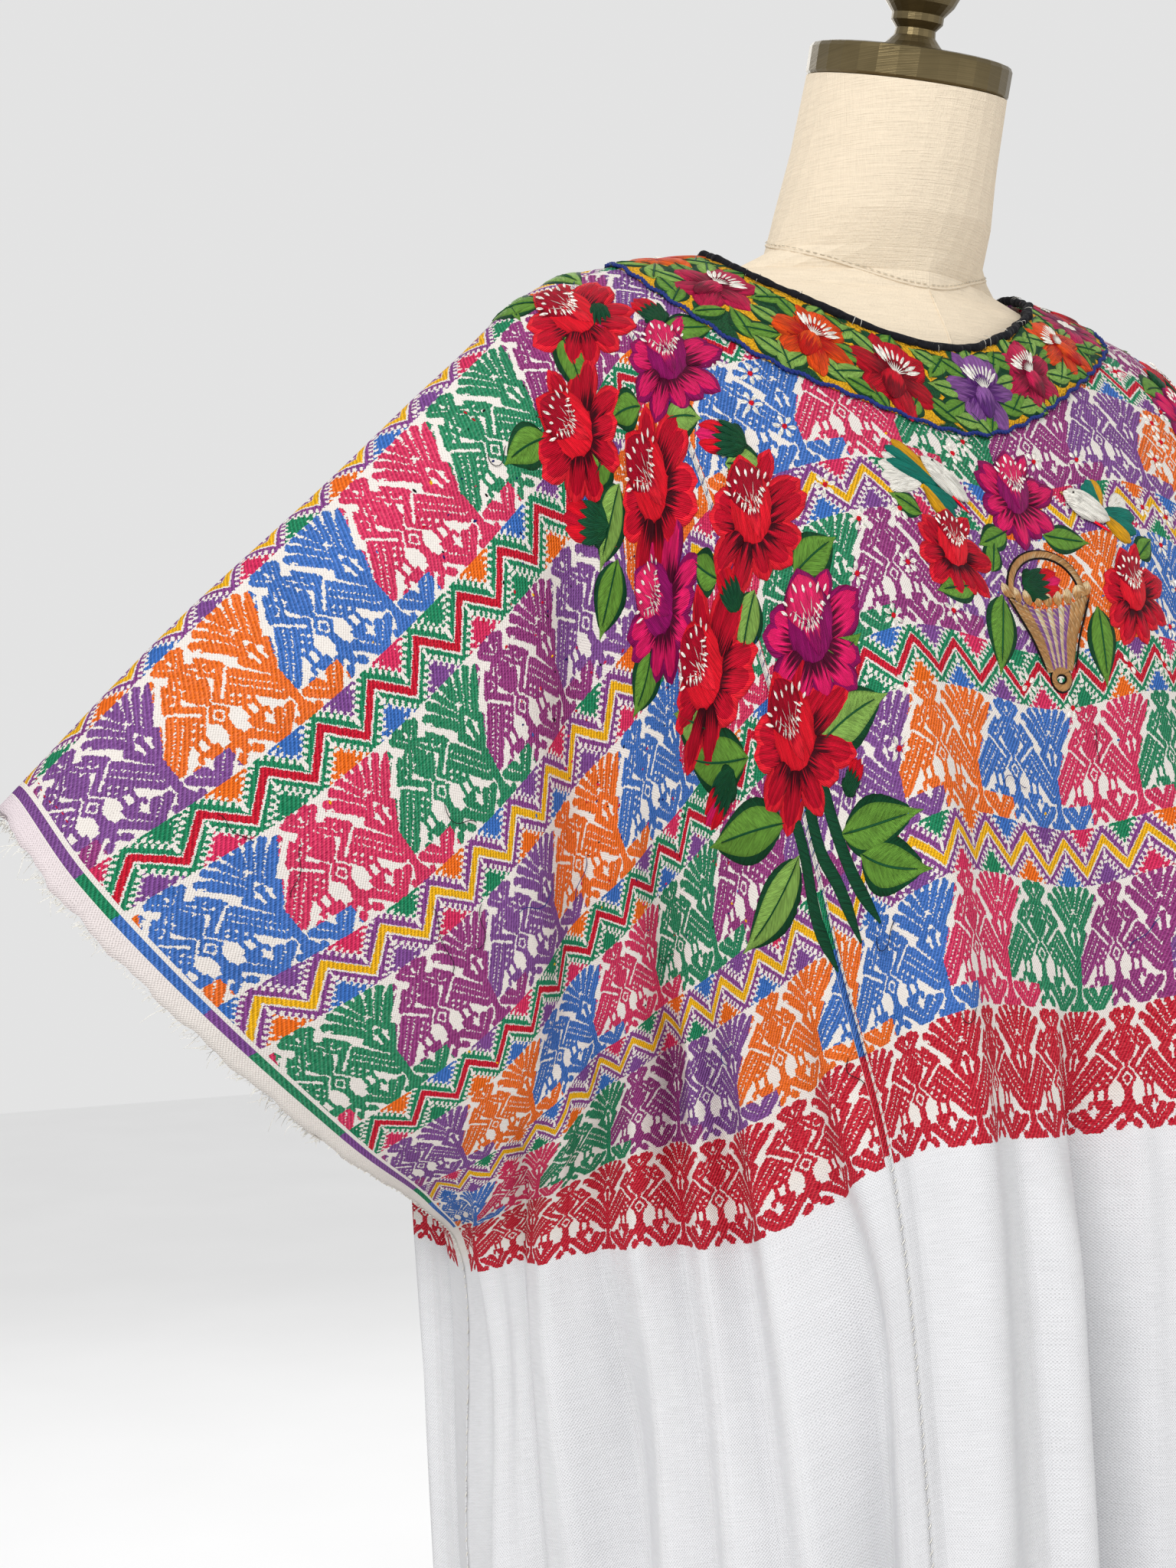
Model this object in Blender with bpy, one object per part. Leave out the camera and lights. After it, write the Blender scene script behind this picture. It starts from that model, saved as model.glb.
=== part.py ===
"""Three-panel brocaded huipil worn by a limbless dress form on a stand.

Metres, +Z up. The floor is z = 0 and the origin is under the stand's pole. The form faces -Y,
so the wearer's right sleeve is at -X.

The cloth is one loom width after another, sewn edge to edge. A point of it is named by its place
on the flat cloth: u runs across the three panels from the middle line (wearer's left is +), and
w runs along the warp from the shoulder fold (front is +, back is -). The function drape() puts
that point where it hangs.
"""
import math

import bmesh
import bpy
import numpy as np

# Cut of the cloth
CENTRE_HALF = 0.205
SIDE_WIDTH = 0.420
CLOTH_EDGE = CENTRE_HALF + SIDE_WIDTH
CLOTH_LENGTH = 0.860
ARMHOLE = 0.270
WALL = 0.0020
SEAM_GAP = 0.0004

# Neck hole and the pieces round it, as ovals on the flat cloth
NECK_SHIFT = 0.008
NECK_HALF = 0.106
NECK_FRONT = 0.080
NECK_BACK = 0.058
COLLAR_WIDTH = 0.050
COLLAR_THICK = 0.0016
BRAID_WIDTH = 0.006
BRAID_THICK = 0.0015
COLLAR_RINGS = tuple(COLLAR_WIDTH * step / 3 for step in range(4))
BINDING_RADIUS = 0.0032
REST_GAP = 0.0003

# How the back leaf differs from the front one
BACK_FULLNESS = (0.90, 0.64)
BACK_TUCK = 0.45

# Warp lines of the front, right half: distance along the warp, outward, depth, height
WARP_LINES = {
    0.000: ((0.00, 0.000, 0.010, 1.350), (0.08, 0.000, -0.078, 1.277), (0.14, 0.000, -0.105, 1.221),
            (0.24, 0.000, -0.140, 1.128), (0.34, 0.000, -0.162, 1.030), (0.52, 0.000, -0.190, 0.853),
            (0.69, 0.000, -0.200, 0.688), (0.86, 0.000, -0.205, 0.520)),
    0.110: ((0.00, 0.110, 0.012, 1.326), (0.06, 0.108, -0.045, 1.298), (0.14, 0.103, -0.095, 1.232),
            (0.24, 0.098, -0.136, 1.140), (0.34, 0.091, -0.160, 1.040), (0.52, 0.083, -0.197, 0.858),
            (0.69, 0.075, -0.212, 0.690), (0.86, 0.072, -0.225, 0.520)),
    0.205: ((0.00, 0.210, 0.010, 1.303), (0.05, 0.203, -0.035, 1.280), (0.12, 0.193, -0.078, 1.225),
            (0.20, 0.178, -0.108, 1.145), (0.30, 0.158, -0.132, 1.045), (0.395, 0.144, -0.152, 0.948),
            (0.52, 0.141, -0.190, 0.850), (0.69, 0.130, -0.206, 0.683), (0.86, 0.128, -0.215, 0.511)),
    0.300: ((0.00, 0.276, 0.006, 1.250), (0.05, 0.256, -0.035, 1.222), (0.12, 0.228, -0.064, 1.160),
            (0.20, 0.205, -0.080, 1.082), (0.30, 0.189, -0.092, 0.992), (0.395, 0.178, -0.104, 0.908),
            (0.52, 0.168, -0.120, 0.804), (0.69, 0.165, -0.157, 0.645), (0.86, 0.165, -0.176, 0.482)),
    0.400: ((0.00, 0.352, 0.003, 1.180), (0.05, 0.324, -0.032, 1.150), (0.12, 0.287, -0.054, 1.090),
            (0.20, 0.253, -0.064, 1.018), (0.30, 0.226, -0.070, 0.943), (0.395, 0.213, -0.072, 0.883),
            (0.52, 0.212, -0.075, 0.797), (0.69, 0.205, -0.097, 0.633), (0.86, 0.200, -0.114, 0.467)),
    0.515: ((0.00, 0.437, 0.001, 1.103), (0.05, 0.412, -0.026, 1.072), (0.12, 0.371, -0.042, 1.015),
            (0.20, 0.323, -0.048, 0.951), (0.30, 0.279, -0.045, 0.881), (0.395, 0.258, -0.033, 0.834),
            (0.52, 0.252, -0.020, 0.782), (0.69, 0.240, -0.025, 0.617), (0.86, 0.230, -0.035, 0.450)),
    0.625: ((0.00, 0.521, 0.000, 1.017), (0.08, 0.503, -0.026, 0.979), (0.175, 0.441, -0.030, 0.915),
            (0.27, 0.352, 0.000, 0.847), (0.395, 0.283, 0.028, 0.805), (0.52, 0.252, 0.035, 0.768),
            (0.69, 0.249, 0.035, 0.600), (0.86, 0.226, 0.035, 0.433)),
}

# Folds: u and w where each starts, u and w where it ends, half width, depth (minus for a ridge)
FOLDS = (
    # front, wearer's right
    (-0.270, 0.030, -0.450, 0.340, 0.034, 0.022),
    (-0.320, 0.200, -0.372, 0.480, 0.020, 0.016),
    (-0.237, 0.480, -0.262, 0.860, 0.028, 0.026),
    (-0.400, 0.500, -0.500, 0.860, 0.040, 0.024),
    (-0.545, 0.480, -0.560, 0.640, 0.022, 0.012),
    (-0.110, 0.240, -0.165, 0.860, 0.026, -0.016),
    (-0.060, 0.460, -0.070, 0.860, 0.024, -0.018),
    (-0.008, 0.430, -0.005, 0.860, 0.024, 0.032),
    (-0.330, 0.560, -0.350, 0.860, 0.030, -0.014),
    # front, wearer's left
    (0.268, 0.030, 0.440, 0.330, 0.036, 0.021),
    (0.330, 0.210, 0.365, 0.500, 0.022, 0.015),
    (0.085, 0.300, 0.075, 0.860, 0.028, -0.018),
    (0.150, 0.420, 0.140, 0.860, 0.026, 0.022),
    (0.225, 0.500, 0.215, 0.860, 0.028, -0.016),
    (0.300, 0.460, 0.310, 0.860, 0.030, 0.024),
    (0.430, 0.500, 0.480, 0.860, 0.038, 0.022),
    (0.550, 0.490, 0.555, 0.660, 0.022, 0.011),
    # back, wearer's right
    (-0.265, -0.030, -0.430, -0.350, 0.038, 0.017),
    (-0.320, -0.260, -0.350, -0.520, 0.022, 0.011),
    (-0.055, -0.380, -0.050, -0.860, 0.028, 0.024),
    (-0.140, -0.400, -0.135, -0.860, 0.030, -0.016),
    (-0.250, -0.480, -0.245, -0.860, 0.030, 0.022),
    (-0.325, -0.520, -0.320, -0.860, 0.030, -0.014),
    (-0.410, -0.500, -0.440, -0.860, 0.040, 0.022),
    # back, wearer's left
    (0.272, -0.030, 0.445, -0.330, 0.035, 0.022),
    (0.335, -0.220, 0.370, -0.500, 0.020, 0.014),
    (0.025, -0.420, 0.030, -0.860, 0.026, -0.016),
    (0.100, -0.360, 0.095, -0.860, 0.028, 0.025),
    (0.180, -0.440, 0.170, -0.860, 0.028, -0.016),
    (0.260, -0.500, 0.255, -0.860, 0.030, 0.023),
    (0.360, -0.540, 0.350, -0.860, 0.034, -0.014),
    (0.450, -0.500, 0.490, -0.860, 0.038, 0.022),
)
FOLD_RISE = 0.14
FOLD_FADE = 0.09

# Dress form: height, half width, front, back, squareness of the section
FORM_SECTIONS = (
    (0.655, 0.150, 0.098, 0.095, 2.2),
    (0.680, 0.158, 0.108, 0.106, 2.2),
    (0.760, 0.166, 0.116, 0.120, 2.2),
    (0.840, 0.156, 0.108, 0.112, 2.2),
    (0.930, 0.128, 0.094, 0.082, 2.2),
    (0.990, 0.124, 0.098, 0.076, 2.2),
    (1.060, 0.138, 0.114, 0.080, 2.2),
    (1.130, 0.150, 0.126, 0.084, 2.2),
    (1.185, 0.156, 0.112, 0.084, 2.1),
    (1.230, 0.164, 0.093, 0.080, 2.0),
    (1.262, 0.172, 0.079, 0.066, 1.7),
    (1.284, 0.178, 0.070, 0.060, 1.5),
    (1.303, 0.172, 0.0585, 0.055, 1.35),
    (1.311, 0.139, 0.0540, 0.0520, 1.28),
    (1.321, 0.097, 0.0535, 0.052, 1.35),
    (1.334, 0.0730, 0.0540, 0.0515, 1.80),
    (1.356, 0.067, 0.0585, 0.055, 2.0),
    (1.390, 0.0605, 0.0590, 0.0565, 2.0),
)
FORM_SIDES = 32
NECK_TOP = 1.430
NECK_TOP_RADIUS = 0.0572
NECK_TOP_FORWARD = 0.034
NECK_LEAN_START = 1.320
CAP_TILT = math.radians(15.0)

# Cap, finial and stand
CAP_RADIUS = 0.0585
CAP_HEIGHT = 0.018
TURNED_SIDES = 32
PLATE_THICK = 0.010
PLATE_RADIUS = 0.090
POLE_RADIUS = 0.0125
BASE_RADIUS = 0.180
BASE_HEIGHT = 0.030

LINEN = ("canvas", (0.72, 0.63, 0.48), 0.90, 0.0)
BRONZE = ("aged_bronze", (0.17, 0.13, 0.07), 0.35, 1.0)
CLOTH = ("brocaded_cotton", (0.62, 0.20, 0.26), 0.85, 0.0)
YELLOW = ("embroidered_collar", (0.85, 0.50, 0.06), 0.70, 0.0)
VELVET = ("black_velvet", (0.012, 0.012, 0.016), 0.95, 0.0)
NAVY = ("navy_braid", (0.03, 0.06, 0.22), 0.75, 0.0)


def clear_scene():
    for old in list(bpy.data.objects):
        bpy.data.objects.remove(old, do_unlink=True)


def material(finish):
    name, colour, roughness, metallic = finish
    made = bpy.data.materials.get(name)
    if made is None:
        made = bpy.data.materials.new(name)
        made.use_nodes = True
        shader = made.node_tree.nodes["Principled BSDF"]
        shader.inputs["Base Color"].default_value = (*colour, 1.0)
        shader.inputs["Roughness"].default_value = roughness
        shader.inputs["Metallic"].default_value = metallic
    return made


def solid(name, points, faces, finish, smooth=True):
    """One closed body from points and faces, with its faces turned outwards."""
    mesh = bpy.data.meshes.new(name)
    mesh.from_pydata([tuple(map(float, p)) for p in points], [], faces)
    shape = bmesh.new()
    shape.from_mesh(mesh)
    bmesh.ops.recalc_face_normals(shape, faces=shape.faces)
    shape.to_mesh(mesh)
    shape.free()
    piece = bpy.data.objects.new(name, mesh)
    bpy.context.collection.objects.link(piece)
    mesh.materials.append(material(finish))
    if smooth:
        mesh.shade_smooth()
        mesh.set_sharp_from_angle(angle=math.radians(35))
    return piece


def ease(start, end, value):
    share = np.clip((value - start) / (end - start), 0.0, 1.0)
    return share * share * (3.0 - 2.0 * share)


def curve_through(knots, values, at, start_flat):
    """Smooth curve through values (a row per knot, then a column per point) at each point's place."""
    knots = np.asarray(knots, float)
    steps = np.diff(knots)[:, None]
    slopes = np.diff(values, axis=0) / steps
    tangents = np.empty_like(values)
    tangents[1:-1] = (slopes[:-1] * steps[1:] + slopes[1:] * steps[:-1]) / (steps[:-1] + steps[1:])
    tangents[0] = 0.0 if start_flat else slopes[0]
    tangents[-1] = slopes[-1]
    low = np.clip(np.searchsorted(knots, at, side="right") - 1, 0, len(knots) - 2)
    column = np.arange(len(at)) % values.shape[1]
    span = knots[low + 1] - knots[low]
    s = (at - knots[low]) / span
    return ((2 * s**3 - 3 * s**2 + 1) * values[low, column]
            + (s**3 - 2 * s**2 + s) * span * tangents[low, column]
            + (3 * s**2 - 2 * s**3) * values[low + 1, column]
            + (s**3 - s**2) * span * tangents[low + 1, column])


def front_leaf(across, along):
    """The front's right half before its folds: outward, depth and height."""
    lines = sorted(WARP_LINES)
    found = []
    for column in (1, 2, 3):
        stations = []
        for line in lines:
            table = np.array(WARP_LINES[line])
            stations.append(curve_through(table[:, 0], table[:, column:column + 1], along, column != 2))
        found.append(curve_through(lines, np.array(stations), across, column != 1))
    return found


def hang(u, w):
    """Where the cloth hangs before its folds."""
    across = np.minimum(np.abs(u), CLOTH_EDGE)
    along = np.minimum(np.abs(w), CLOTH_LENGTH)
    outward, depth, height = front_leaf(across, along)
    ridge_depth = front_leaf(across, np.zeros_like(along))[1]
    seam_depth = front_leaf(np.full_like(across, CLOTH_EDGE), along)[1]
    middle = ridge_depth * (1.0 - ease(0.0, 0.2, along)) + np.where(along > ARMHOLE, seam_depth, 0.0)
    above, below = BACK_FULLNESS
    back_depth = middle + (middle - depth) * (above + (below - above) * ease(0.10, 0.60, along))
    tuck = BACK_TUCK * ease(0.28, 0.50, across) * (back_depth - depth) * (1.0 - ease(0.20, 0.32, along))
    back = w < 0
    outward = np.where(back, outward - tuck * ease(0.0, 0.05, along), outward)
    depth = np.where(back, back_depth, depth)
    return np.stack([np.where(u < 0, -outward, outward), depth, height], -1)


def face_normals(surface, u, w, step=0.002):
    """Outward unit normals of a surface that is given by u and w."""
    along_u = surface(u + step, w) - surface(u - step, w)
    along_w = surface(u, w + step) - surface(u, w - step)
    normals = np.cross(along_w, along_u)
    normals /= np.linalg.norm(normals, axis=1)[:, None] + 1e-12
    return normals


def fold_push(u, w):
    """How far the folds push each point in."""
    push = np.zeros_like(u)
    for u_start, w_start, u_end, w_end, half_width, depth in FOLDS:
        face = math.copysign(1.0, w_start)
        along = w * face
        first, last = abs(w_start), abs(w_end)
        share = np.clip((along - first) / (last - first), 0.0, 1.0)
        line = u_start + (u_end - u_start) * share
        strength = ease(first, first + FOLD_RISE, along)
        if last < CLOTH_LENGTH:
            strength = strength * (1.0 - ease(last - FOLD_FADE, last + FOLD_FADE, along))
        push = push + depth * strength * np.exp(-((u - line) / half_width) ** 2)
    return push * ease(0.0, 0.05, CLOTH_EDGE - np.abs(u))


def inside(u, w):
    """The same points, kept far enough from the cloth's edges for a normal to be measured."""
    margin = 0.0021
    return (np.clip(u, margin - CLOTH_EDGE, CLOTH_EDGE - margin),
            np.clip(w, margin - CLOTH_LENGTH, CLOTH_LENGTH - margin))


def drape(u, w):
    """Where the middle of the cloth hangs, folds included."""
    u, w = np.asarray(u, float), np.asarray(w, float)
    return hang(u, w) - face_normals(hang, *inside(u, w)) * fold_push(u, w)[:, None]


def drape_normals(u, w):
    """Outward normals of the draped cloth; at the side seam they lie in the seam's own plane."""
    u, w = np.asarray(u, float), np.asarray(w, float)
    normals = face_normals(drape, *inside(u, w))
    at_seam = (np.abs(u) > CLOTH_EDGE - 1e-6) & (np.abs(w) > ARMHOLE - 1e-6)
    normals[at_seam, 1] = 0.0
    normals /= np.linalg.norm(normals, axis=1)[:, None]
    return normals


def part_side_seam(u, w, points):
    """Opens the side seam by the seam gap, half to each leaf."""
    at_seam = (np.abs(u) > CLOTH_EDGE - 1e-6) & (np.abs(w) > ARMHOLE - 1e-6)
    points[at_seam, 1] -= np.sign(w[at_seam]) * SEAM_GAP / 2
    return points


def cloth_solid(name, places, quads, low, high, finish):
    """A wall on the draped cloth, from low to high above the cloth's middle."""
    u = np.array([place[0] for place in places])
    w = np.array([place[1] for place in places])
    middle = part_side_seam(u, w, drape(u, w))
    normals = drape_normals(u, w)
    points = np.concatenate([middle + normals * high, middle + normals * low])
    count = len(places)
    halves = [half for a, b, c, d in quads for half in ((a, b, c), (a, c, d))]
    faces = halves + [tuple(count + corner for corner in reversed(half)) for half in halves]
    edges = {}
    for half in halves:
        for first, second in zip(half, half[1:] + half[:1]):
            edges[(first, second)] = True
    for first, second in edges:
        if (second, first) in edges:
            continue
        if places[first][::-1] > places[second][::-1]:
            faces += [(second, first, first + count), (second, first + count, second + count)]
        else:
            faces += [(second, first, second + count), (first, first + count, second + count)]
    return solid(name, points, faces, finish)


def warp_stations():
    """Distances from the shoulder fold of the rows of points, closer together near the fold."""
    spans = ((0.0, 0.06, 3), (0.06, ARMHOLE, 6), (ARMHOLE, 0.52, 6), (0.52, CLOTH_LENGTH, 6))
    stations = [0.0]
    for start, end, count in spans:
        stations += [start + (end - start) * (step + 1) / count for step in range(count)]
    return stations


def grid(columns, rows):
    places = [(u, w) for w in rows for u in columns]
    wide = len(columns)
    quads = [(r * wide + c, r * wide + c + 1, (r + 1) * wide + c + 1, (r + 1) * wide + c)
             for r in range(len(rows) - 1) for c in range(wide - 1)]
    return places, quads


def side_panel(name, side):
    """A whole side panel, from the back hem over the shoulder to the front hem."""
    cells = 16
    start = CENTRE_HALF + SEAM_GAP / 2
    columns = [side * (start + (CLOTH_EDGE - start) * step / cells) for step in range(cells + 1)]
    down = warp_stations()
    rows = [-w for w in reversed(down[1:])] + down
    places, quads = grid(columns, rows)
    return cloth_solid(name, places, quads, -WALL / 2, WALL / 2, CLOTH)


PATCH_ALONG = 0.200
PATCH_CELLS_ACROSS = 14


def patch_edge():
    """Points round the rectangle of centre panel that holds the neck hole."""
    half = CENTRE_HALF - SEAM_GAP / 2
    across = [-half + 2 * half * step / PATCH_CELLS_ACROSS for step in range(PATCH_CELLS_ACROSS + 1)]
    down = [w for w in warp_stations() if w < PATCH_ALONG + 1e-6]
    along = [-w for w in reversed(down[1:])] + down
    return ([(u, along[0]) for u in across[:-1]] + [(half, w) for w in along[:-1]]
            + [(u, along[-1]) for u in reversed(across[1:])] + [(-half, w) for w in reversed(along[1:])])


def neck_oval(angle, grow):
    """A point of the neck hole's oval, grown outwards by grow."""
    drop = NECK_FRONT if math.sin(angle) > 0 else NECK_BACK
    return (NECK_SHIFT + (NECK_HALF + grow) * math.cos(angle), (drop + grow) * math.sin(angle))


def neck_angles():
    return [math.atan2(w / PATCH_ALONG, u / CENTRE_HALF) for u, w in patch_edge()]


def ring_grid(rings):
    """Closed rings of the same number of places, joined by quads from the inner one outwards."""
    count = len(rings[0])
    places = [place for ring in rings for place in ring]
    quads = [(r * count + c, r * count + (c + 1) % count, (r + 1) * count + (c + 1) % count, (r + 1) * count + c)
             for r in range(len(rings) - 1) for c in range(count)]
    return places, quads


def centre_panel():
    """The centre panel, with its neck hole."""
    outer = patch_edge()
    angles = neck_angles()
    braid_edge = COLLAR_WIDTH + REST_GAP + BRAID_WIDTH
    rings = [[neck_oval(angle, grow) for angle in angles] for grow in COLLAR_RINGS + (braid_edge,)]
    last = rings[-1]
    for share in (0.5, 1.0):
        rings.append([(a + (b - a) * share, c + (d - c) * share) for (a, c), (b, d) in zip(last, outer)])
    places, quads = ring_grid(rings)
    half = CENTRE_HALF - SEAM_GAP / 2
    columns = [-half + 2 * half * step / PATCH_CELLS_ACROSS for step in range(PATCH_CELLS_ACROSS + 1)]
    lower = [w for w in warp_stations() if w > PATCH_ALONG + 0.01]
    number = {(round(u, 6), round(w, 6)): index for index, (u, w) in enumerate(places)}
    for rows, turned in (([PATCH_ALONG] + lower, False), ([-PATCH_ALONG] + [-w for w in lower], True)):
        more, cells = grid(columns, rows)
        index = []
        for place in more:
            key = (round(place[0], 6), round(place[1], 6))
            if key not in number:
                number[key] = len(places)
                places.append(place)
            index.append(number[key])
        for cell in cells:
            corners = tuple(index[corner] for corner in cell)
            quads.append(corners if turned else tuple(reversed(corners)))
    return cloth_solid("centre_panel", places, quads, -WALL / 2, WALL / 2, CLOTH)


def collar():
    """The embroidered round collar, on the centre panel."""
    rings = [[neck_oval(angle, grow) for angle in neck_angles()] for grow in COLLAR_RINGS]
    low = WALL / 2 + REST_GAP
    return cloth_solid("collar", *ring_grid(rings), low, low + COLLAR_THICK, YELLOW)


def collar_braid():
    """The narrow braid that covers the collar's outer edge."""
    start = COLLAR_WIDTH + REST_GAP
    rings = [[neck_oval(angle, start + BRAID_WIDTH * step) for angle in neck_angles()] for step in (0, 1)]
    low = WALL / 2 + REST_GAP
    return cloth_solid("collar_braid", *ring_grid(rings), low, low + BRAID_THICK, NAVY)


def neck_binding():
    """The velvet roll that binds the neck hole's edge."""
    sides = 6
    places = np.array([neck_oval(angle, -BINDING_RADIUS - REST_GAP * 2) for angle in neck_angles()])
    middle = drape(places[:, 0], places[:, 1]) + drape_normals(places[:, 0], places[:, 1]) * (BINDING_RADIUS * 0.6)
    ahead = np.roll(middle, -1, axis=0) - np.roll(middle, 1, axis=0)
    ahead /= np.linalg.norm(ahead, axis=1)[:, None]
    up = drape_normals(places[:, 0], places[:, 1])
    aside = np.cross(ahead, up)
    aside /= np.linalg.norm(aside, axis=1)[:, None]
    up = np.cross(aside, ahead)
    rings = []
    for step in range(sides):
        turn = 2 * math.pi * step / sides
        rings.append(middle + (aside * math.cos(turn) + up * math.sin(turn)) * BINDING_RADIUS)
    count = len(middle)
    faces = [(r * count + c, r * count + (c + 1) % count,
              ((r + 1) % sides) * count + (c + 1) % count, ((r + 1) % sides) * count + c)
             for r in range(sides) for c in range(count)]
    return solid("neck_binding", np.concatenate(rings), faces, VELVET)


def form_torso():
    """The dress form's body and neck, from its sections."""
    rings = []
    for height, half_width, front, back, squareness in FORM_SECTIONS:
        lean = NECK_TOP_FORWARD * max(0.0, height - NECK_LEAN_START) / (NECK_TOP - NECK_LEAN_START)
        tilt = math.tan(CAP_TILT) * max(0.0, height - NECK_LEAN_START) / (NECK_TOP - NECK_LEAN_START)
        rings.append(form_ring(height, half_width, front, back, squareness, lean, tilt))
    rings.append(form_ring(NECK_TOP, NECK_TOP_RADIUS, NECK_TOP_RADIUS, NECK_TOP_RADIUS, 2.0,
                           NECK_TOP_FORWARD, math.tan(CAP_TILT)))
    points = [point for ring in rings for point in ring]
    faces = [(r * FORM_SIDES + c, r * FORM_SIDES + (c + 1) % FORM_SIDES,
              (r + 1) * FORM_SIDES + (c + 1) % FORM_SIDES, (r + 1) * FORM_SIDES + c)
             for r in range(len(rings) - 1) for c in range(FORM_SIDES)]
    faces.append(tuple(range(FORM_SIDES)))
    top = (len(rings) - 1) * FORM_SIDES
    faces.append(tuple(range(top, top + FORM_SIDES)))
    return solid("form_torso", points, faces, LINEN)


def form_ring(height, half_width, front, back, squareness, lean, tilt):
    ring = []
    for step in range(FORM_SIDES):
        angle = 2 * math.pi * step / FORM_SIDES
        c, s = math.cos(angle), math.sin(angle)
        x = half_width * math.copysign(abs(c) ** (2 / squareness), c)
        y = (back if s > 0 else front) * math.copysign(abs(s) ** (2 / squareness), s)
        ring.append((x, y - lean, height + y * tilt))
    return ring


def turned(name, profile, finish, place=(0.0, 0.0, 0.0), tilt=0.0, sides=TURNED_SIDES):
    """A solid of revolution from (radius, height) pairs, from its foot to its top."""
    points = [(0.0, 0.0, profile[0][1])]
    for radius, height in profile:
        points += [(radius * math.cos(2 * math.pi * k / sides), radius * math.sin(2 * math.pi * k / sides), height)
                   for k in range(sides)]
    points.append((0.0, 0.0, profile[-1][1]))
    last = len(points) - 1
    faces = [(0, 1 + (k + 1) % sides, 1 + k) for k in range(sides)]
    for r in range(len(profile) - 1):
        faces += [(1 + r * sides + k, 1 + r * sides + (k + 1) % sides,
                   1 + (r + 1) * sides + (k + 1) % sides, 1 + (r + 1) * sides + k) for k in range(sides)]
    start = 1 + (len(profile) - 1) * sides
    faces += [(last, start + k, start + (k + 1) % sides) for k in range(sides)]
    c, s = math.cos(tilt), math.sin(tilt)
    moved = [(x + place[0], y * c - z * s + place[1], y * s + z * c + place[2]) for x, y, z in points]
    return solid(name, moved, faces, finish)


def neck_fittings():
    """The neck cap and the finial on it, square to the tilted top of the neck."""
    up = (0.0, -math.sin(CAP_TILT), math.cos(CAP_TILT))
    foot = [0.0, -NECK_TOP_FORWARD + up[1] * REST_GAP, NECK_TOP + up[2] * REST_GAP]
    radius, height = CAP_RADIUS, CAP_HEIGHT
    turned("neck_cap", ((radius - 0.0015, 0.0), (radius, 0.0015), (radius, height - 0.003),
                        (radius - 0.0012, height - 0.0008), (radius - 0.004, height)),
           BRONZE, foot, CAP_TILT)
    seat = [foot[axis] + up[axis] * (height + REST_GAP) for axis in range(3)]
    turned("cap_finial", ((0.0185, 0.0), (0.0185, 0.0035), (0.0155, 0.006), (0.0120, 0.010), (0.0115, 0.014),
                          (0.0150, 0.018), (0.0150, 0.022), (0.0200, 0.028), (0.0235, 0.036), (0.0240, 0.043),
                          (0.0215, 0.051), (0.0150, 0.058), (0.0060, 0.0615)),
           BRONZE, seat, CAP_TILT, sides=24)


def stand():
    """Bottom plate, pole with its height collar, and round base."""
    bottom = FORM_SECTIONS[0][0]
    plate_top = bottom - REST_GAP
    plate_low = plate_top - PLATE_THICK
    turned("form_bottom_plate", ((PLATE_RADIUS - 0.002, plate_low), (PLATE_RADIUS, plate_low + 0.002),
                                 (PLATE_RADIUS, plate_top)), BRONZE)
    pole_low = BASE_HEIGHT + 0.026 + REST_GAP
    turned("form_pole", ((POLE_RADIUS, pole_low), (POLE_RADIUS, plate_low - REST_GAP)), BRONZE, sides=20)
    turned("form_base", ((BASE_RADIUS - 0.002, 0.0), (BASE_RADIUS, 0.003), (BASE_RADIUS, 0.010),
                         (BASE_RADIUS - 0.006, 0.015), (0.120, 0.021), (0.060, BASE_HEIGHT - 0.003),
                         (0.032, BASE_HEIGHT + 0.003), (0.026, BASE_HEIGHT + 0.010),
                         (0.022, BASE_HEIGHT + 0.024), (0.020, BASE_HEIGHT + 0.026)), BRONZE)


def binding_knot():
    """The small tied end of the binding, behind the wearer's left shoulder."""
    angle = math.radians(-16)
    u, w = neck_oval(angle, -BINDING_RADIUS - REST_GAP * 2)
    place = drape([u], [w])[0] + drape_normals([u], [w])[0] * (BINDING_RADIUS * 1.6 + 0.0062 + REST_GAP)
    made = bmesh.new()
    bmesh.ops.create_icosphere(made, subdivisions=2, radius=0.0062)
    bmesh.ops.scale(made, vec=(1.35, 0.9, 1.0), verts=made.verts)
    bmesh.ops.translate(made, vec=place, verts=made.verts)
    mesh = bpy.data.meshes.new("binding_knot")
    made.to_mesh(mesh)
    made.free()
    mesh.materials.append(material(NAVY))
    mesh.shade_smooth()
    piece = bpy.data.objects.new("binding_knot", mesh)
    bpy.context.collection.objects.link(piece)


def main():
    clear_scene()
    centre_panel()
    side_panel("side_panel_right", -1)
    side_panel("side_panel_left", 1)
    collar()
    collar_braid()
    neck_binding()
    binding_knot()
    form_torso()
    neck_fittings()
    stand()


main()
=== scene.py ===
"""Looks of the brocaded and embroidered huipil on its linen dress form.

The cloth is named by its place when flat: u across the three loom widths from the middle line
(wearer's left is +) and w along the warp from the shoulder fold (front is +, back is -).
"""
import math

import bmesh
import bpy
import numpy as np
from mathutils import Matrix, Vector
from mathutils.bvhtree import BVHTree


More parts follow.
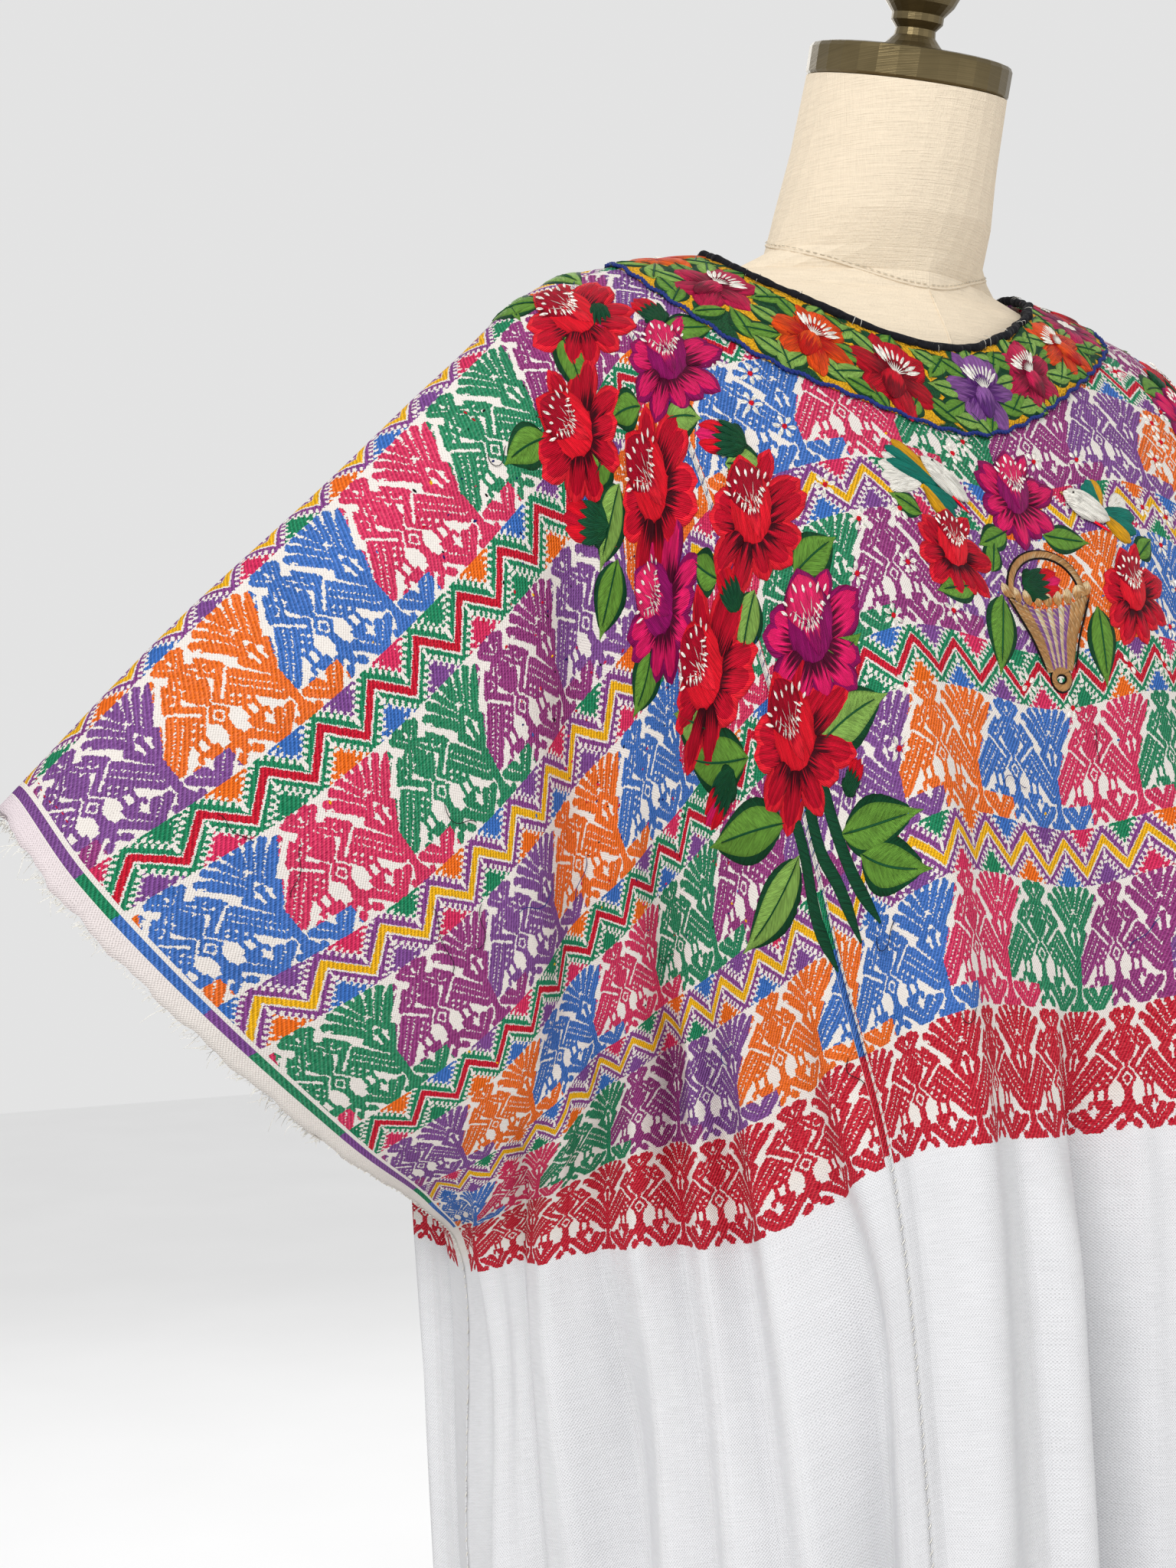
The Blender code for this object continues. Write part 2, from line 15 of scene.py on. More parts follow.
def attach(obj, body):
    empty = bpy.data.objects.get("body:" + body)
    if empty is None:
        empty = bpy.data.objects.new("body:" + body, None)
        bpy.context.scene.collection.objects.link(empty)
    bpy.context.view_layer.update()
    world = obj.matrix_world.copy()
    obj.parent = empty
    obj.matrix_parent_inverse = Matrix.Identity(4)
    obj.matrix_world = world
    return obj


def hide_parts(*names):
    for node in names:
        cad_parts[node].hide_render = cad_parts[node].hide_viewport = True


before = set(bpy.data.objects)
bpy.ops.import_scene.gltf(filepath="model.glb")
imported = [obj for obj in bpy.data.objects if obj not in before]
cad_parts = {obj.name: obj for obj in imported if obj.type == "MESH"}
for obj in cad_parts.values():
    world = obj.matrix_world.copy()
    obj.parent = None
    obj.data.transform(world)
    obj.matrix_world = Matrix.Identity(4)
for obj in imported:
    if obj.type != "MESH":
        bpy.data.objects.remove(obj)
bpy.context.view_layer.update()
rng = np.random.default_rng(7)


# Camera at the photograph's angle

def add_camera(turn=math.radians(-32.0), back=1.35, aside=0.165, height=1.03):
    """A level camera, turned about the form's middle line."""
    across = Vector((math.cos(turn), math.sin(turn), 0.0))
    ahead = Vector((-math.sin(turn), math.cos(turn), 0.0))
    data = bpy.data.cameras.new("camera")
    data.sensor_fit = "VERTICAL"
    data.sensor_height = 24.0
    data.lens = 35.156
    data.clip_start = 0.01
    camera = bpy.data.objects.new("camera", data)
    camera.location = ahead * -back - across * aside + Vector((0.0, 0.0, height))
    camera.rotation_euler = (math.pi / 2, 0.0, turn)
    bpy.context.collection.objects.link(camera)
    bpy.context.scene.camera = camera


add_camera()


# Cut of the cloth, as in the solids
CENTRE_HALF = 0.205
CLOTH_EDGE = 0.625
CLOTH_LENGTH = 0.860
ARMHOLE = 0.270
NECK_SHIFT = 0.008
NECK_HALF = 0.106
NECK_FRONT = 0.080
NECK_BACK = 0.058
COLLAR_WIDTH = 0.050
BACK_FULLNESS = (0.90, 0.64)
BACK_TUCK = 0.45
# Room left at each seam, and where the rings round the neck hole end
SEAM_GAP = 0.0001
RINGS_END = 0.200

# The tables below are in millimetres.
# Warp lines of the front, right half: distance along the warp, outward, depth, height
WARP_LINES = {
    0: ((0, 0, 10, 1350), (80, 0, -78, 1277), (140, 0, -105, 1221), (240, 0, -140, 1128),
          (340, 0, -162, 1030), (520, 0, -190, 853), (690, 0, -200, 688), (860, 0, -205, 520)),
    110: ((0, 110, 12, 1326), (60, 108, -45, 1298), (140, 103, -95, 1232), (240, 98, -136, 1140),
          (340, 91, -160, 1040), (520, 83, -197, 858), (690, 75, -212, 690), (860, 72, -225, 520)),
    205: ((0, 210, 10, 1303), (50, 203, -35, 1280), (120, 193, -78, 1225), (200, 178, -108, 1145),
          (300, 158, -132, 1045), (395, 144, -152, 948), (520, 141, -190, 850), (690, 130, -206, 683),
          (860, 128, -215, 511)),
    300: ((0, 276, 6, 1250), (50, 256, -35, 1222), (120, 228, -64, 1160), (200, 205, -80, 1082),
          (300, 189, -92, 992), (395, 178, -104, 908), (520, 168, -120, 804), (690, 165, -157, 645),
          (860, 165, -176, 482)),
    400: ((0, 352, 3, 1180), (50, 324, -32, 1150), (120, 287, -54, 1090), (200, 253, -64, 1018),
          (300, 226, -70, 943), (395, 213, -72, 883), (520, 212, -75, 797), (690, 205, -97, 633),
          (860, 200, -114, 467)),
    515: ((0, 437, 1, 1103), (50, 412, -26, 1072), (120, 371, -42, 1015), (200, 323, -48, 951),
          (300, 279, -45, 881), (395, 258, -33, 834), (520, 252, -20, 782), (690, 240, -25, 617),
          (860, 230, -35, 450)),
    625: ((0, 521, 0, 1017), (80, 503, -26, 979), (175, 441, -30, 915), (270, 352, 0, 847),
          (395, 283, 28, 805), (520, 252, 35, 768), (690, 249, 35, 600), (860, 226, 35, 433)),
}

# Folds: u and w where each starts, u and w where it ends, half width, depth (minus for a ridge)
FOLDS = (
    # front, wearer's right
    (-270, 30, -450, 340, 34, 22), (-320, 200, -372, 480, 20, 16), (-237, 480, -262, 860, 28, 26),
    (-400, 500, -500, 860, 40, 24), (-545, 480, -560, 640, 22, 12), (-110, 240, -165, 860, 26, -16),
    (-60, 460, -70, 860, 24, -18), (-8, 430, -5, 860, 24, 32), (-330, 560, -350, 860, 30, -14),
    # front, wearer's left
    (268, 30, 440, 330, 36, 21), (330, 210, 365, 500, 22, 15), (85, 300, 75, 860, 28, -18),
    (150, 420, 140, 860, 26, 22), (225, 500, 215, 860, 28, -16), (300, 460, 310, 860, 30, 24),
    (430, 500, 480, 860, 38, 22), (550, 490, 555, 660, 22, 11),
    # back, wearer's right
    (-265, -30, -430, -350, 38, 17), (-320, -260, -350, -520, 22, 11), (-55, -380, -50, -860, 28, 24),
    (-140, -400, -135, -860, 30, -16), (-250, -480, -245, -860, 30, 22), (-325, -520, -320, -860, 30, -14),
    (-410, -500, -440, -860, 40, 22),
    # back, wearer's left
    (272, -30, 445, -330, 35, 22), (335, -220, 370, -500, 20, 14), (25, -420, 30, -860, 26, -16),
    (100, -360, 95, -860, 28, 25), (180, -440, 170, -860, 28, -16), (260, -500, 255, -860, 30, 23),
    (360, -540, 350, -860, 34, -14), (450, -500, 490, -860, 38, 22),
)
FOLD_RISE, FOLD_FADE = 0.14, 0.09

# Small creases between the folds, in the same columns
CREASES = (
    # front, wearer's right
    (-222, 340, -232, 860, 12, -10), (-248, 420, -262, 860, 10, 8), (-286, 360, -296, 860, 12, -11),
    (-312, 330, -320, 800, 10, 9), (-336, 310, -348, 700, 9, -8), (-360, 330, -372, 860, 10, 10),
    (-392, 310, -408, 860, 12, -10), (-424, 300, -446, 860, 11, 9), (-466, 310, -490, 860, 13, -11),
    (-508, 330, -530, 860, 11, 10), (-556, 340, -566, 860, 12, -9), (-150, 120, -215, 330, 16, 3.5),
    (-190, 440, -192, 760, 10, 5), (-85, 470, -90, 800, 9, 4.5), (-35, 420, -40, 700, 9, -4),
    # front, wearer's left
    (30, 450, 36, 820, 10, -4.5), (110, 420, 112, 760, 10, 4), (234, 320, 240, 860, 12, 9),
    (262, 380, 268, 860, 11, -10), (290, 340, 284, 700, 10, 8), (322, 330, 330, 860, 12, -11),
    (352, 300, 362, 860, 10, 10), (386, 310, 402, 860, 12, -9), (420, 320, 440, 860, 11, 10),
    (462, 300, 486, 860, 13, -10), (512, 330, 530, 860, 12, 10), (560, 350, 570, 860, 11, -9),
    # back, wearer's right
    (-100, -200, -120, -460, 14, 3.5), (-205, -440, -200, -780, 11, -4), (-236, -330, -240, -860, 12, 10),
    (-272, -350, -280, -860, 13, -12), (-306, -310, -312, -860, 11, 11), (-344, -330, -352, -860, 12, -11),
    (-380, -300, -394, -860, 13, 12), (-420, -320, -436, -860, 12, -11), (-462, -300, -484, -860, 13, 12),
    (-506, -330, -528, -860, 12, -10), (-554, -340, -566, -860, 12, 10),
    # back, wearer's left
    (60, -240, 55, -520, 14, -3.5), (200, -420, 205, -760, 11, 4), (230, -340, 236, -860, 12, -10),
    (266, -320, 270, -860, 12, 11), (304, -340, 312, -860, 13, -12), (342, -310, 350, -860, 12, 11),
    (378, -330, 392, -860, 12, -11), (416, -300, 434, -860, 13, 12), (460, -320, 480, -860, 12, -11),
    (504, -310, 524, -860, 13, 11), (552, -350, 564, -860, 12, -10),
)
CREASE_RISE, CREASE_FADE = 0.10, 0.08


def metres(table):
    """A length in millimetres, or nested tuples of them, in metres."""
    return tuple(metres(part) for part in table) if isinstance(table, tuple) else table / 1000


def ease(start, end, value):
    """0 at start to 1 at end, smoothly."""
    share = np.clip((value - start) / (end - start), 0.0, 1.0)
    return share * share * (3.0 - 2.0 * share)


def curve_through(knots, values, at, start_flat):
    """Smooth curve through values (a row per knot, then a column per point) at each point's place."""
    knots = np.asarray(knots, float)
    steps = np.diff(knots)[:, None]
    slopes = np.diff(values, axis=0) / steps
    tangents = np.empty_like(values)
    tangents[1:-1] = (slopes[:-1] * steps[1:] + slopes[1:] * steps[:-1]) / (steps[:-1] + steps[1:])
    tangents[0] = 0.0 if start_flat else slopes[0]
    tangents[-1] = slopes[-1]
    low = np.clip(np.searchsorted(knots, at, side="right") - 1, 0, len(knots) - 2)
    column = np.arange(len(at)) % values.shape[1]
    span = knots[low + 1] - knots[low]
    s = (at - knots[low]) / span
    return ((2 * s**3 - 3 * s**2 + 1) * values[low, column]
            + (s**3 - 2 * s**2 + s) * span * tangents[low, column]
            + (3 * s**2 - 2 * s**3) * values[low + 1, column]
            + (s**3 - s**2) * span * tangents[low + 1, column])


def front_leaf(across, along):
    """Outward, depth and height of the front leaf as it hangs without folds."""
    lines = np.array(sorted(WARP_LINES)) / 1000
    tables = [np.array(WARP_LINES[line]) / 1000 for line in sorted(WARP_LINES)]
    found = []
    for column in (1, 2, 3):
        stations = [curve_through(table[:, 0], table[:, column:column + 1], along, column != 2)
                    for table in tables]
        found.append(curve_through(lines, np.array(stations), across, column != 1))
    return found


def hang(u, w):
    """The cloth as it hangs without folds; the back leaf is worked out from the front one."""
    across = np.minimum(np.abs(u), CLOTH_EDGE)
    along = np.minimum(np.abs(w), CLOTH_LENGTH)
    outward, depth, height = front_leaf(across, along)
    ridge_depth = front_leaf(across, np.zeros_like(along))[1]
    seam_depth = front_leaf(np.full_like(across, CLOTH_EDGE), along)[1]
    middle = ridge_depth * (1.0 - ease(0.0, 0.2, along)) + np.where(along > ARMHOLE, seam_depth, 0.0)
    above, below = BACK_FULLNESS
    back_depth = middle + (middle - depth) * (above + (below - above) * ease(0.10, 0.60, along))
    tuck = BACK_TUCK * ease(0.28, 0.50, across) * (back_depth - depth) * (1.0 - ease(0.20, 0.32, along))
    back = w < 0
    outward = np.where(back, outward - tuck * ease(0.0, 0.05, along), outward)
    depth = np.where(back, back_depth, depth)
    return np.stack([np.where(u < 0, -outward, outward), depth, height], -1)


def push_of(folds, rise, fade, u, w):
    """How far folds push the cloth inward."""
    push = np.zeros_like(u)
    for u_start, w_start, u_end, w_end, half_width, depth in metres(folds):
        along = w * math.copysign(1.0, w_start)
        first, last = abs(w_start), abs(w_end)
        line = u_start + (u_end - u_start) * np.clip((along - first) / (last - first), 0.0, 1.0)
        strength = ease(first, first + rise, along)
        if last < CLOTH_LENGTH:
            strength = strength * (1.0 - ease(last - fade, last + fade, along))
        push = push + depth * strength * np.exp(-((u - line) / half_width) ** 2)
    return push * ease(0.0, 0.05, CLOTH_EDGE - np.abs(u))


def outward_of(points):
    """The outward direction at each point of a grid on the cloth."""
    normals = np.cross(np.gradient(points, axis=1), np.gradient(points, axis=0))
    return normals / (np.linalg.norm(normals, axis=2)[:, :, None] + 1e-12)


class Drape:
    """The hanging cloth, worked out once on a 5 mm grid and read between its points."""

    STEP = 0.005
    WIDE, LONG = 251, 345

    def __init__(self):
        across = np.linspace(-CLOTH_EDGE, CLOTH_EDGE, self.WIDE)
        along = np.linspace(-CLOTH_LENGTH, CLOTH_LENGTH, self.LONG)
        u, w = (table.ravel() for table in np.meshgrid(across, along, indexing="ij"))
        u = np.clip(u, SEAM_GAP - CLOTH_EDGE, CLOTH_EDGE - SEAM_GAP)
        plain = hang(u, w).reshape(self.WIDE, self.LONG, 3)
        push = push_of(FOLDS, FOLD_RISE, FOLD_FADE, u, w) + push_of(CREASES, CREASE_RISE, CREASE_FADE, u, w)
        self.points = plain - outward_of(plain) * push.reshape(self.WIDE, self.LONG, 1)
        self.normals = outward_of(self.points)

    def read(self, table, u, w):
        """A table's row at each place of the flat cloth."""
        x = np.clip((np.asarray(u, float) + CLOTH_EDGE) / self.STEP, 0, self.WIDE - 1.001)
        y = np.clip((np.asarray(w, float) + CLOTH_LENGTH) / self.STEP, 0, self.LONG - 1.001)
        i, j = x.astype(int), y.astype(int)
        a, b = (x - i)[..., None], (y - j)[..., None]
        return ((table[i, j] * (1 - a) + table[i + 1, j] * a) * (1 - b)
                + (table[i, j + 1] * (1 - a) + table[i + 1, j + 1] * a) * b)

    def lay(self, u, w, lift):
        """Points of the cloth, moved out by lift."""
        normals = self.read(self.normals, u, w)
        normals /= np.linalg.norm(normals, axis=-1)[..., None]
        return self.read(self.points, u, w) + normals * np.asarray(lift, float)[..., None]


cloth = Drape()


# Shader wiring

def operator(operation, turned=False):
    """A method that adds a Math node to a value, or to what stands before it."""
    def method(value, *others):
        return value.wiring.math(operation, *((*others, value) if turned else (value, *others)))
    return method


class Value:
    """A number in a material: a socket whose operators add Math nodes. & and | join masks."""

    __add__ = __radd__ = operator("ADD")
    __sub__ = operator("SUBTRACT")
    __rsub__ = operator("SUBTRACT", turned=True)
    __mul__ = __rmul__ = __and__ = operator("MULTIPLY")
    __truediv__ = operator("DIVIDE")
    __rtruediv__ = operator("DIVIDE", turned=True)
    __mod__ = operator("FLOORED_MODULO")
    __gt__ = operator("GREATER_THAN")
    __lt__ = operator("LESS_THAN")
    __abs__ = operator("ABSOLUTE")
    __or__ = most = operator("MAXIMUM")
    least = operator("MINIMUM")
    floor = operator("FLOOR")
    sine = operator("SINE")

    def __init__(self, wiring, source):
        self.wiring = wiring
        self.source = source

    def spread(self, low, high):
        """0 at low to 1 at high, smoothly."""
        return self.wiring.node("ShaderNodeMapRange", {"interpolation_type": "SMOOTHSTEP"},
                                {0: self, 1: low, 2: high})

    def wave(self, length):
        """A sine wave of a given length."""
        return (self * (2.0 * math.pi / length)).sine()

    def through(self, length):
        """Share of the way through each repeat of a length."""
        return (self / length) % 1.0

    def stepped(self, step):
        """The middle of the step that the value falls in."""
        return ((self / step).floor() + 0.5) * step


class Wiring:
    """The node tree of one material."""

    def __init__(self, name, roughness=0.8, metallic=0.0, **constants):
        self.material = bpy.data.materials.new(name)
        self.material.use_nodes = True
        self.tree = self.material.node_tree
        self.shader = self.tree.nodes["Principled BSDF"]
        self.shader.inputs["Roughness"].default_value = roughness
        self.shader.inputs["Metallic"].default_value = metallic
        for socket, value in constants.items():
            self.shader.inputs[socket.replace("_", " ")].default_value = value

    def put(self, socket, value):
        """Links a value to a socket, or sets a number or a colour on it."""
        if isinstance(value, Value):
            self.tree.links.new(value.source, socket)
        elif isinstance(value, (tuple, list)) and len(value) == 3 and socket.type == "RGBA":
            socket.default_value = (*value, 1.0)
        else:
            socket.default_value = value

    def node(self, kind, settings, sockets, output=0):
        """A node with its settings, then the values or links of its sockets."""
        made = self.tree.nodes.new(kind)
        for setting, value in settings.items():
            if setting == "stops":
                ramp = made.color_ramp
                for place, colour in value:
                    stop = ramp.elements.new(place)
                    stop.color = (*colour, 1.0)
                ramp.elements.remove(ramp.elements[0])
                ramp.elements.remove(ramp.elements[-1])
            elif setting == "interpolation":
                made.color_ramp.interpolation = value
            else:
                setattr(made, setting, value)
        for socket, value in sockets.items():
            self.put(made.inputs[socket], value)
        return Value(self, made.outputs[output])

    def math(self, operation, *values):
        return self.node("ShaderNodeMath", {"operation": operation}, dict(enumerate(values)))

    def mix(self, share, first, second):
        return self.node("ShaderNodeMix", {"data_type": "RGBA"}, {0: share, 6: first, 7: second}, 2)

    def shade(self, colour, strength):
        """colour, darkened or lightened by strength."""
        grey = self.node("ShaderNodeCombineColor", {}, {0: strength, 1: strength, 2: strength})
        return self.node("ShaderNodeMix", {"data_type": "RGBA", "blend_type": "MULTIPLY"},
                         {0: 1.0, 6: colour, 7: grey}, 2)

    def vector(self, x, y, z=0.0):
        return self.node("ShaderNodeCombineXYZ", {}, {0: x, 1: y, 2: z})

    def parts(self, vector, kind="ShaderNodeSeparateXYZ"):
        """The three numbers of a vector or a colour."""
        made = self.tree.nodes.new(kind)
        self.put(made.inputs[0], vector)
        return [Value(self, output) for output in made.outputs]

    def uv(self, name):
        return self.parts(self.node("ShaderNodeUVMap", {"uv_map": name}, {}))[:2]

    def place(self):
        return self.node("ShaderNodeTexCoord", {}, {}, "Object")

    def noise(self, vector, scale, detail=2.0):
        return self.node("ShaderNodeTexNoise", {}, {"Vector": vector, "Scale": scale, "Detail": detail})

    def attribute(self, name):
        return self.node("ShaderNodeAttribute", {"attribute_name": name}, {}, "Color")

    def finish(self, colour, height=None, distance=0.001, strength=1.0, roughness=None):
        """The material, with its colour and, where they are given, its relief and roughness."""
        self.put(self.shader.inputs["Base Color"], colour)
        if height is not None:
            relief = {"Strength": strength, "Distance": distance, "Height": height}
            self.put(self.shader.inputs["Normal"], self.node("ShaderNodeBump", {}, relief))
        if roughness is not None:
            self.put(self.shader.inputs["Roughness"], roughness)
        return self.material


SCREEN_GAMMA = 2.3


def dye(red, green, blue):
    """A yarn colour as it looks on screen, from 0 to 255, for a shader."""
    return tuple((share / 255) ** SCREEN_GAMMA for share in (red, green, blue))


PURPLE = dye(136, 82, 156)
ORANGE = dye(255, 118, 20)
BLUE = dye(64, 120, 202)
PINK = dye(228, 50, 100)
GREEN = dye(28, 142, 98)
PLUM = dye(160, 58, 132)
CRIMSON = dye(212, 12, 50)
YELLOW = dye(255, 192, 12)
GROUND = dye(231, 224, 217)
PLAIN_GROUND = dye(229, 229, 231)
PALE_YARN = dye(214, 204, 206)
BLOCK_ORDER = (PURPLE, ORANGE, BLUE, PINK, GREEN, PLUM)
TOOTH_ORDER = (ORANGE, PINK, BLUE, GREEN, PURPLE)
STRIPE_ORDER = (PURPLE, PURPLE, GREEN, BLUE, PURPLE, GREEN)

# Bands of the brocade, from the shoulder fold down the warp: each begins with a zigzag, then has motif blocks
BAND_SHIFT = 0.015
BAND = 0.095
ZIGZAG = 0.030
RED_BAND = 0.460
RED_END = 0.520
BLOCKS_END = 0.525
SEAM_STRIPE = 0.365

# Woven repeat: half a unit, from the middle of a lozenge column to the middle of a tree
CHART_WIDE = 45
CHART_HIGH = 89
DRAWN_WIDE = 33.0
DRAWN_HIGH = 70.0
HALF_UNIT = DRAWN_WIDE / 1000
UNIT = 2 * HALF_UNIT
CELL = HALF_UNIT / CHART_WIDE
# A colour ramp holds 30 rows of the chart, and each channel of a stop holds 15 cells as the bits of a number.
RAMP_ROWS = 30
RAMP_PLACES = 32.0
BITS = 15
# Lines in millimetres, with the last rows squeezed in: kind, thickness, start across and down, end across and
# down. Kind 1 is yarn, 0 is ground, and 2 is a row of small ground dots.
CHART_LINES = (
    # flower on top of the lozenge column
    (1, 4.0, 0, 9.5, 0, 4), (1, 3.6, 0.5, 10, 3.8, 1.4), (1, 3.6, 1.5, 10.5, 7.2, 3.8),
    (2, 0.8, 1.2, 9, 5.2, 4.4), (0, 1.1, 0, 4.4, 0, 6.4),
    # leaves under it
    (1, 2.6, 0, 14.8, 0, 16.4), (1, 2.6, 0.6, 22, 2.6, 18.2), (1, 3.0, 1.8, 28.4, 4.8, 22.8),
    (1, 1.6, 0, 24.4, 0, 32.6),
    # neck and head of the bird
    (1, 1.6, 1.8, 11.4, 7.6, 20.6), (1, 1.6, 3.8, 11, 8.8, 15.6), (1, 1.6, 7.6, 20.6, 12.4, 24.6),
    (1, 1.7, 10.8, 14, 16, 20), (1, 1.7, 16, 20, 12.2, 24.2), (1, 1.7, 7.4, 18.6, 10.8, 14),
    (1, 2.6, 11.3, 19.1, 11.8, 19.5), (1, 1.8, 9.8, 12.6, 11.2, 14.6),
    # breast
    (1, 3.2, 15.8, 22.6, 4.8, 32.6), (1, 3.0, 4.8, 32.8, 11.6, 41.4),
    # wing and body
    (1, 3.4, 17.4, 27.2, 29.6, 43.6), (1, 3.4, 14.8, 29.8, 29.2, 48.2), (1, 3.4, 12.4, 32.4, 28.8, 53.0),
    (1, 3.8, 9.6, 35.0, 16, 43.2), (1, 3.2, 8.4, 37.6, 12.6, 42.6), (2, 0.8, 16, 28.4, 29.6, 46.0),
    (2, 0.8, 13.6, 31, 29.2, 50.8), (0, 1.5, 16.8, 24.2, 6.6, 33.6), (0, 1.6, 10.6, 35.8, 10.7, 35.9),
    (0, 1.6, 8.6, 38.4, 8.7, 38.5), (0, 1.6, 13.2, 38.8, 13.3, 38.9), (0, 1.6, 11.2, 41.6, 11.3, 41.7),
    (0, 1.6, 15.8, 42.0, 15.9, 42.1),
    # legs and feet
    (1, 1.7, 11.2, 43, 11.2, 51), (1, 1.7, 16.4, 44, 16.4, 51.4), (1, 1.5, 9.4, 52, 13, 52),
    (1, 1.5, 9.2, 52, 9.2, 55), (1, 1.5, 13.2, 52, 13.2, 55), (1, 1.5, 11.2, 52, 11.2, 54.4),
    (1, 1.5, 14.8, 52.2, 18.4, 52.2), (1, 1.5, 14.8, 52.2, 14.6, 55.2), (1, 1.5, 18.4, 52.2, 18.6, 55.2),
    # tulip between the lozenge and the tree
    (1, 3.8, 5.8, 57.4, 14.4, 67.4), (1, 3.8, 11.2, 57.4, 15.6, 64.6), (1, 3.8, 22.2, 57.8, 18.2, 64.4),
    (1, 3.8, 27.6, 59, 18.8, 67.6), (1, 3.6, 14.6, 67.6, 18.8, 67.8), (2, 0.8, 8.8, 57.6, 16, 66),
    (2, 0.8, 24.8, 58.6, 17.6, 66.2), (0, 1.2, 16.9, 57, 16.9, 61), (1, 2.8, 3.6, 64.6, 4.8, 66.4),
    (1, 2.8, 27, 67.6, 28, 68.6),
    # stem and bulb of the lozenge column
    (1, 3.0, 0, 46, 0, 52), (1, 6.4, 0, 55, 0, 57), (1, 3.2, 0, 58, 0, 62.4),
    # tree
    (1, 4.8, 14.8, 7.6, 28.6, 23), (1, 4.6, 19.8, 4, 29.6, 20), (1, 4.6, 25.2, 2, 31.4, 16),
    (1, 4.6, 31.2, 2.2, 32.8, 20), (0, 1.5, 15.6, 4.0, 19.0, 7.4), (0, 1.5, 21.0, 0.6, 24.0, 5.0),
    (0, 1.5, 27.4, 0, 28.4, 3.4), (0, 1.3, 12.6, 9.6, 15.0, 10.8), (0, 1.3, 32.8, 0, 32.8, 1.4),
    (2, 0.8, 18.4, 6.6, 29.2, 20.4), (2, 0.8, 23.4, 4.2, 30.6, 17), (2, 0.8, 28.6, 2.6, 32.2, 15),
    (0, 1.4, 33, 13.4, 26.8, 24.8), (1, 2.8, 32.8, 17.4, 28.6, 24.6), (0, 1.4, 33, 20.8, 29.8, 27),
    (1, 3.4, 25.4, 27, 31.6, 37), (1, 3.4, 33, 25, 33, 70), (0, 1.3, 30.8, 26.4, 30.8, 32.4),
    (1, 3.0, 33, 61, 29.6, 68.8),
)


def woven_chart():
    """The repeat as rows of filled cells."""
    column, row = np.meshgrid(np.arange(CHART_WIDE) + 0.5, np.arange(CHART_HIGH) + 0.5)
    across, down = column * DRAWN_WIDE / CHART_WIDE, row * DRAWN_HIGH / CHART_HIGH
    chart = np.zeros((CHART_HIGH, CHART_WIDE), bool)
    for kind, thick, x0, y0, x1, y1 in CHART_LINES:
        length = max(math.hypot(x1 - x0, y1 - y0), 0.001)
        share = np.clip(((across - x0) * (x1 - x0) + (down - y0) * (y1 - y0)) / length ** 2, 0.0, 1.0)
        thick = thick + (0.0 if kind != 1 else 1.6 if thick > 2.3 else 0.8)
        near = np.hypot(across - x0 - share * (x1 - x0), down - y0 - share * (y1 - y0)) <= thick / 2
        if kind == 2:
            near &= (share * length) % 2.0 < 1.1
        chart[near] = kind == 1
    lozenge = across / 6.2 + np.abs(down - 40.0) / 7.6
    chart[lozenge < 1.0] = True
    chart[(lozenge > 0.36) & (lozenge < 0.56)] = False
    return chart


def chart_cell(wiring, column, row):
    """1 where the chart is filled at a column and row."""
    chart = woven_chart()
    packed = None
    for first in range(0, CHART_HIGH, RAMP_ROWS):
        stops = []
        for line in range(first, min(first + RAMP_ROWS, CHART_HIGH)):
            blocks = [sum(1 << bit for bit in range(BITS) if chart[line, block * BITS + bit]) / 2 ** BITS
                      for block in range(3)]
            stops.append(((line - first) / RAMP_PLACES, blocks))
        rows = wiring.node("ShaderNodeValToRGB", {"interpolation": "CONSTANT", "stops": stops},
                           {0: (row - first + 0.5) / RAMP_PLACES})
        packed = rows if packed is None else wiring.mix(row > first - 0.5, packed, rows)
    red, green, blue = wiring.parts(packed, "ShaderNodeSeparateColor")
    block = (column / BITS + 0.001).floor()
    bit = column - block * BITS
    share = red * (block < 0.5) + green * ((block > 0.5) & (block < 1.5)) + blue * (block > 1.5)
    return ((share * 2 ** BITS + 0.25) / wiring.math("POWER", 2.0, bit)).floor() % 2.0


def pick(wiring, colours, number, places=8.0):
    """The colour at a number, counted round."""
    stops = [(index / places, colour) for index, colour in enumerate(colours)]
    return wiring.node("ShaderNodeValToRGB", {"interpolation": "CONSTANT", "stops": stops},
                       {0: ((number + 0.01) % len(colours) + 0.4) / places})


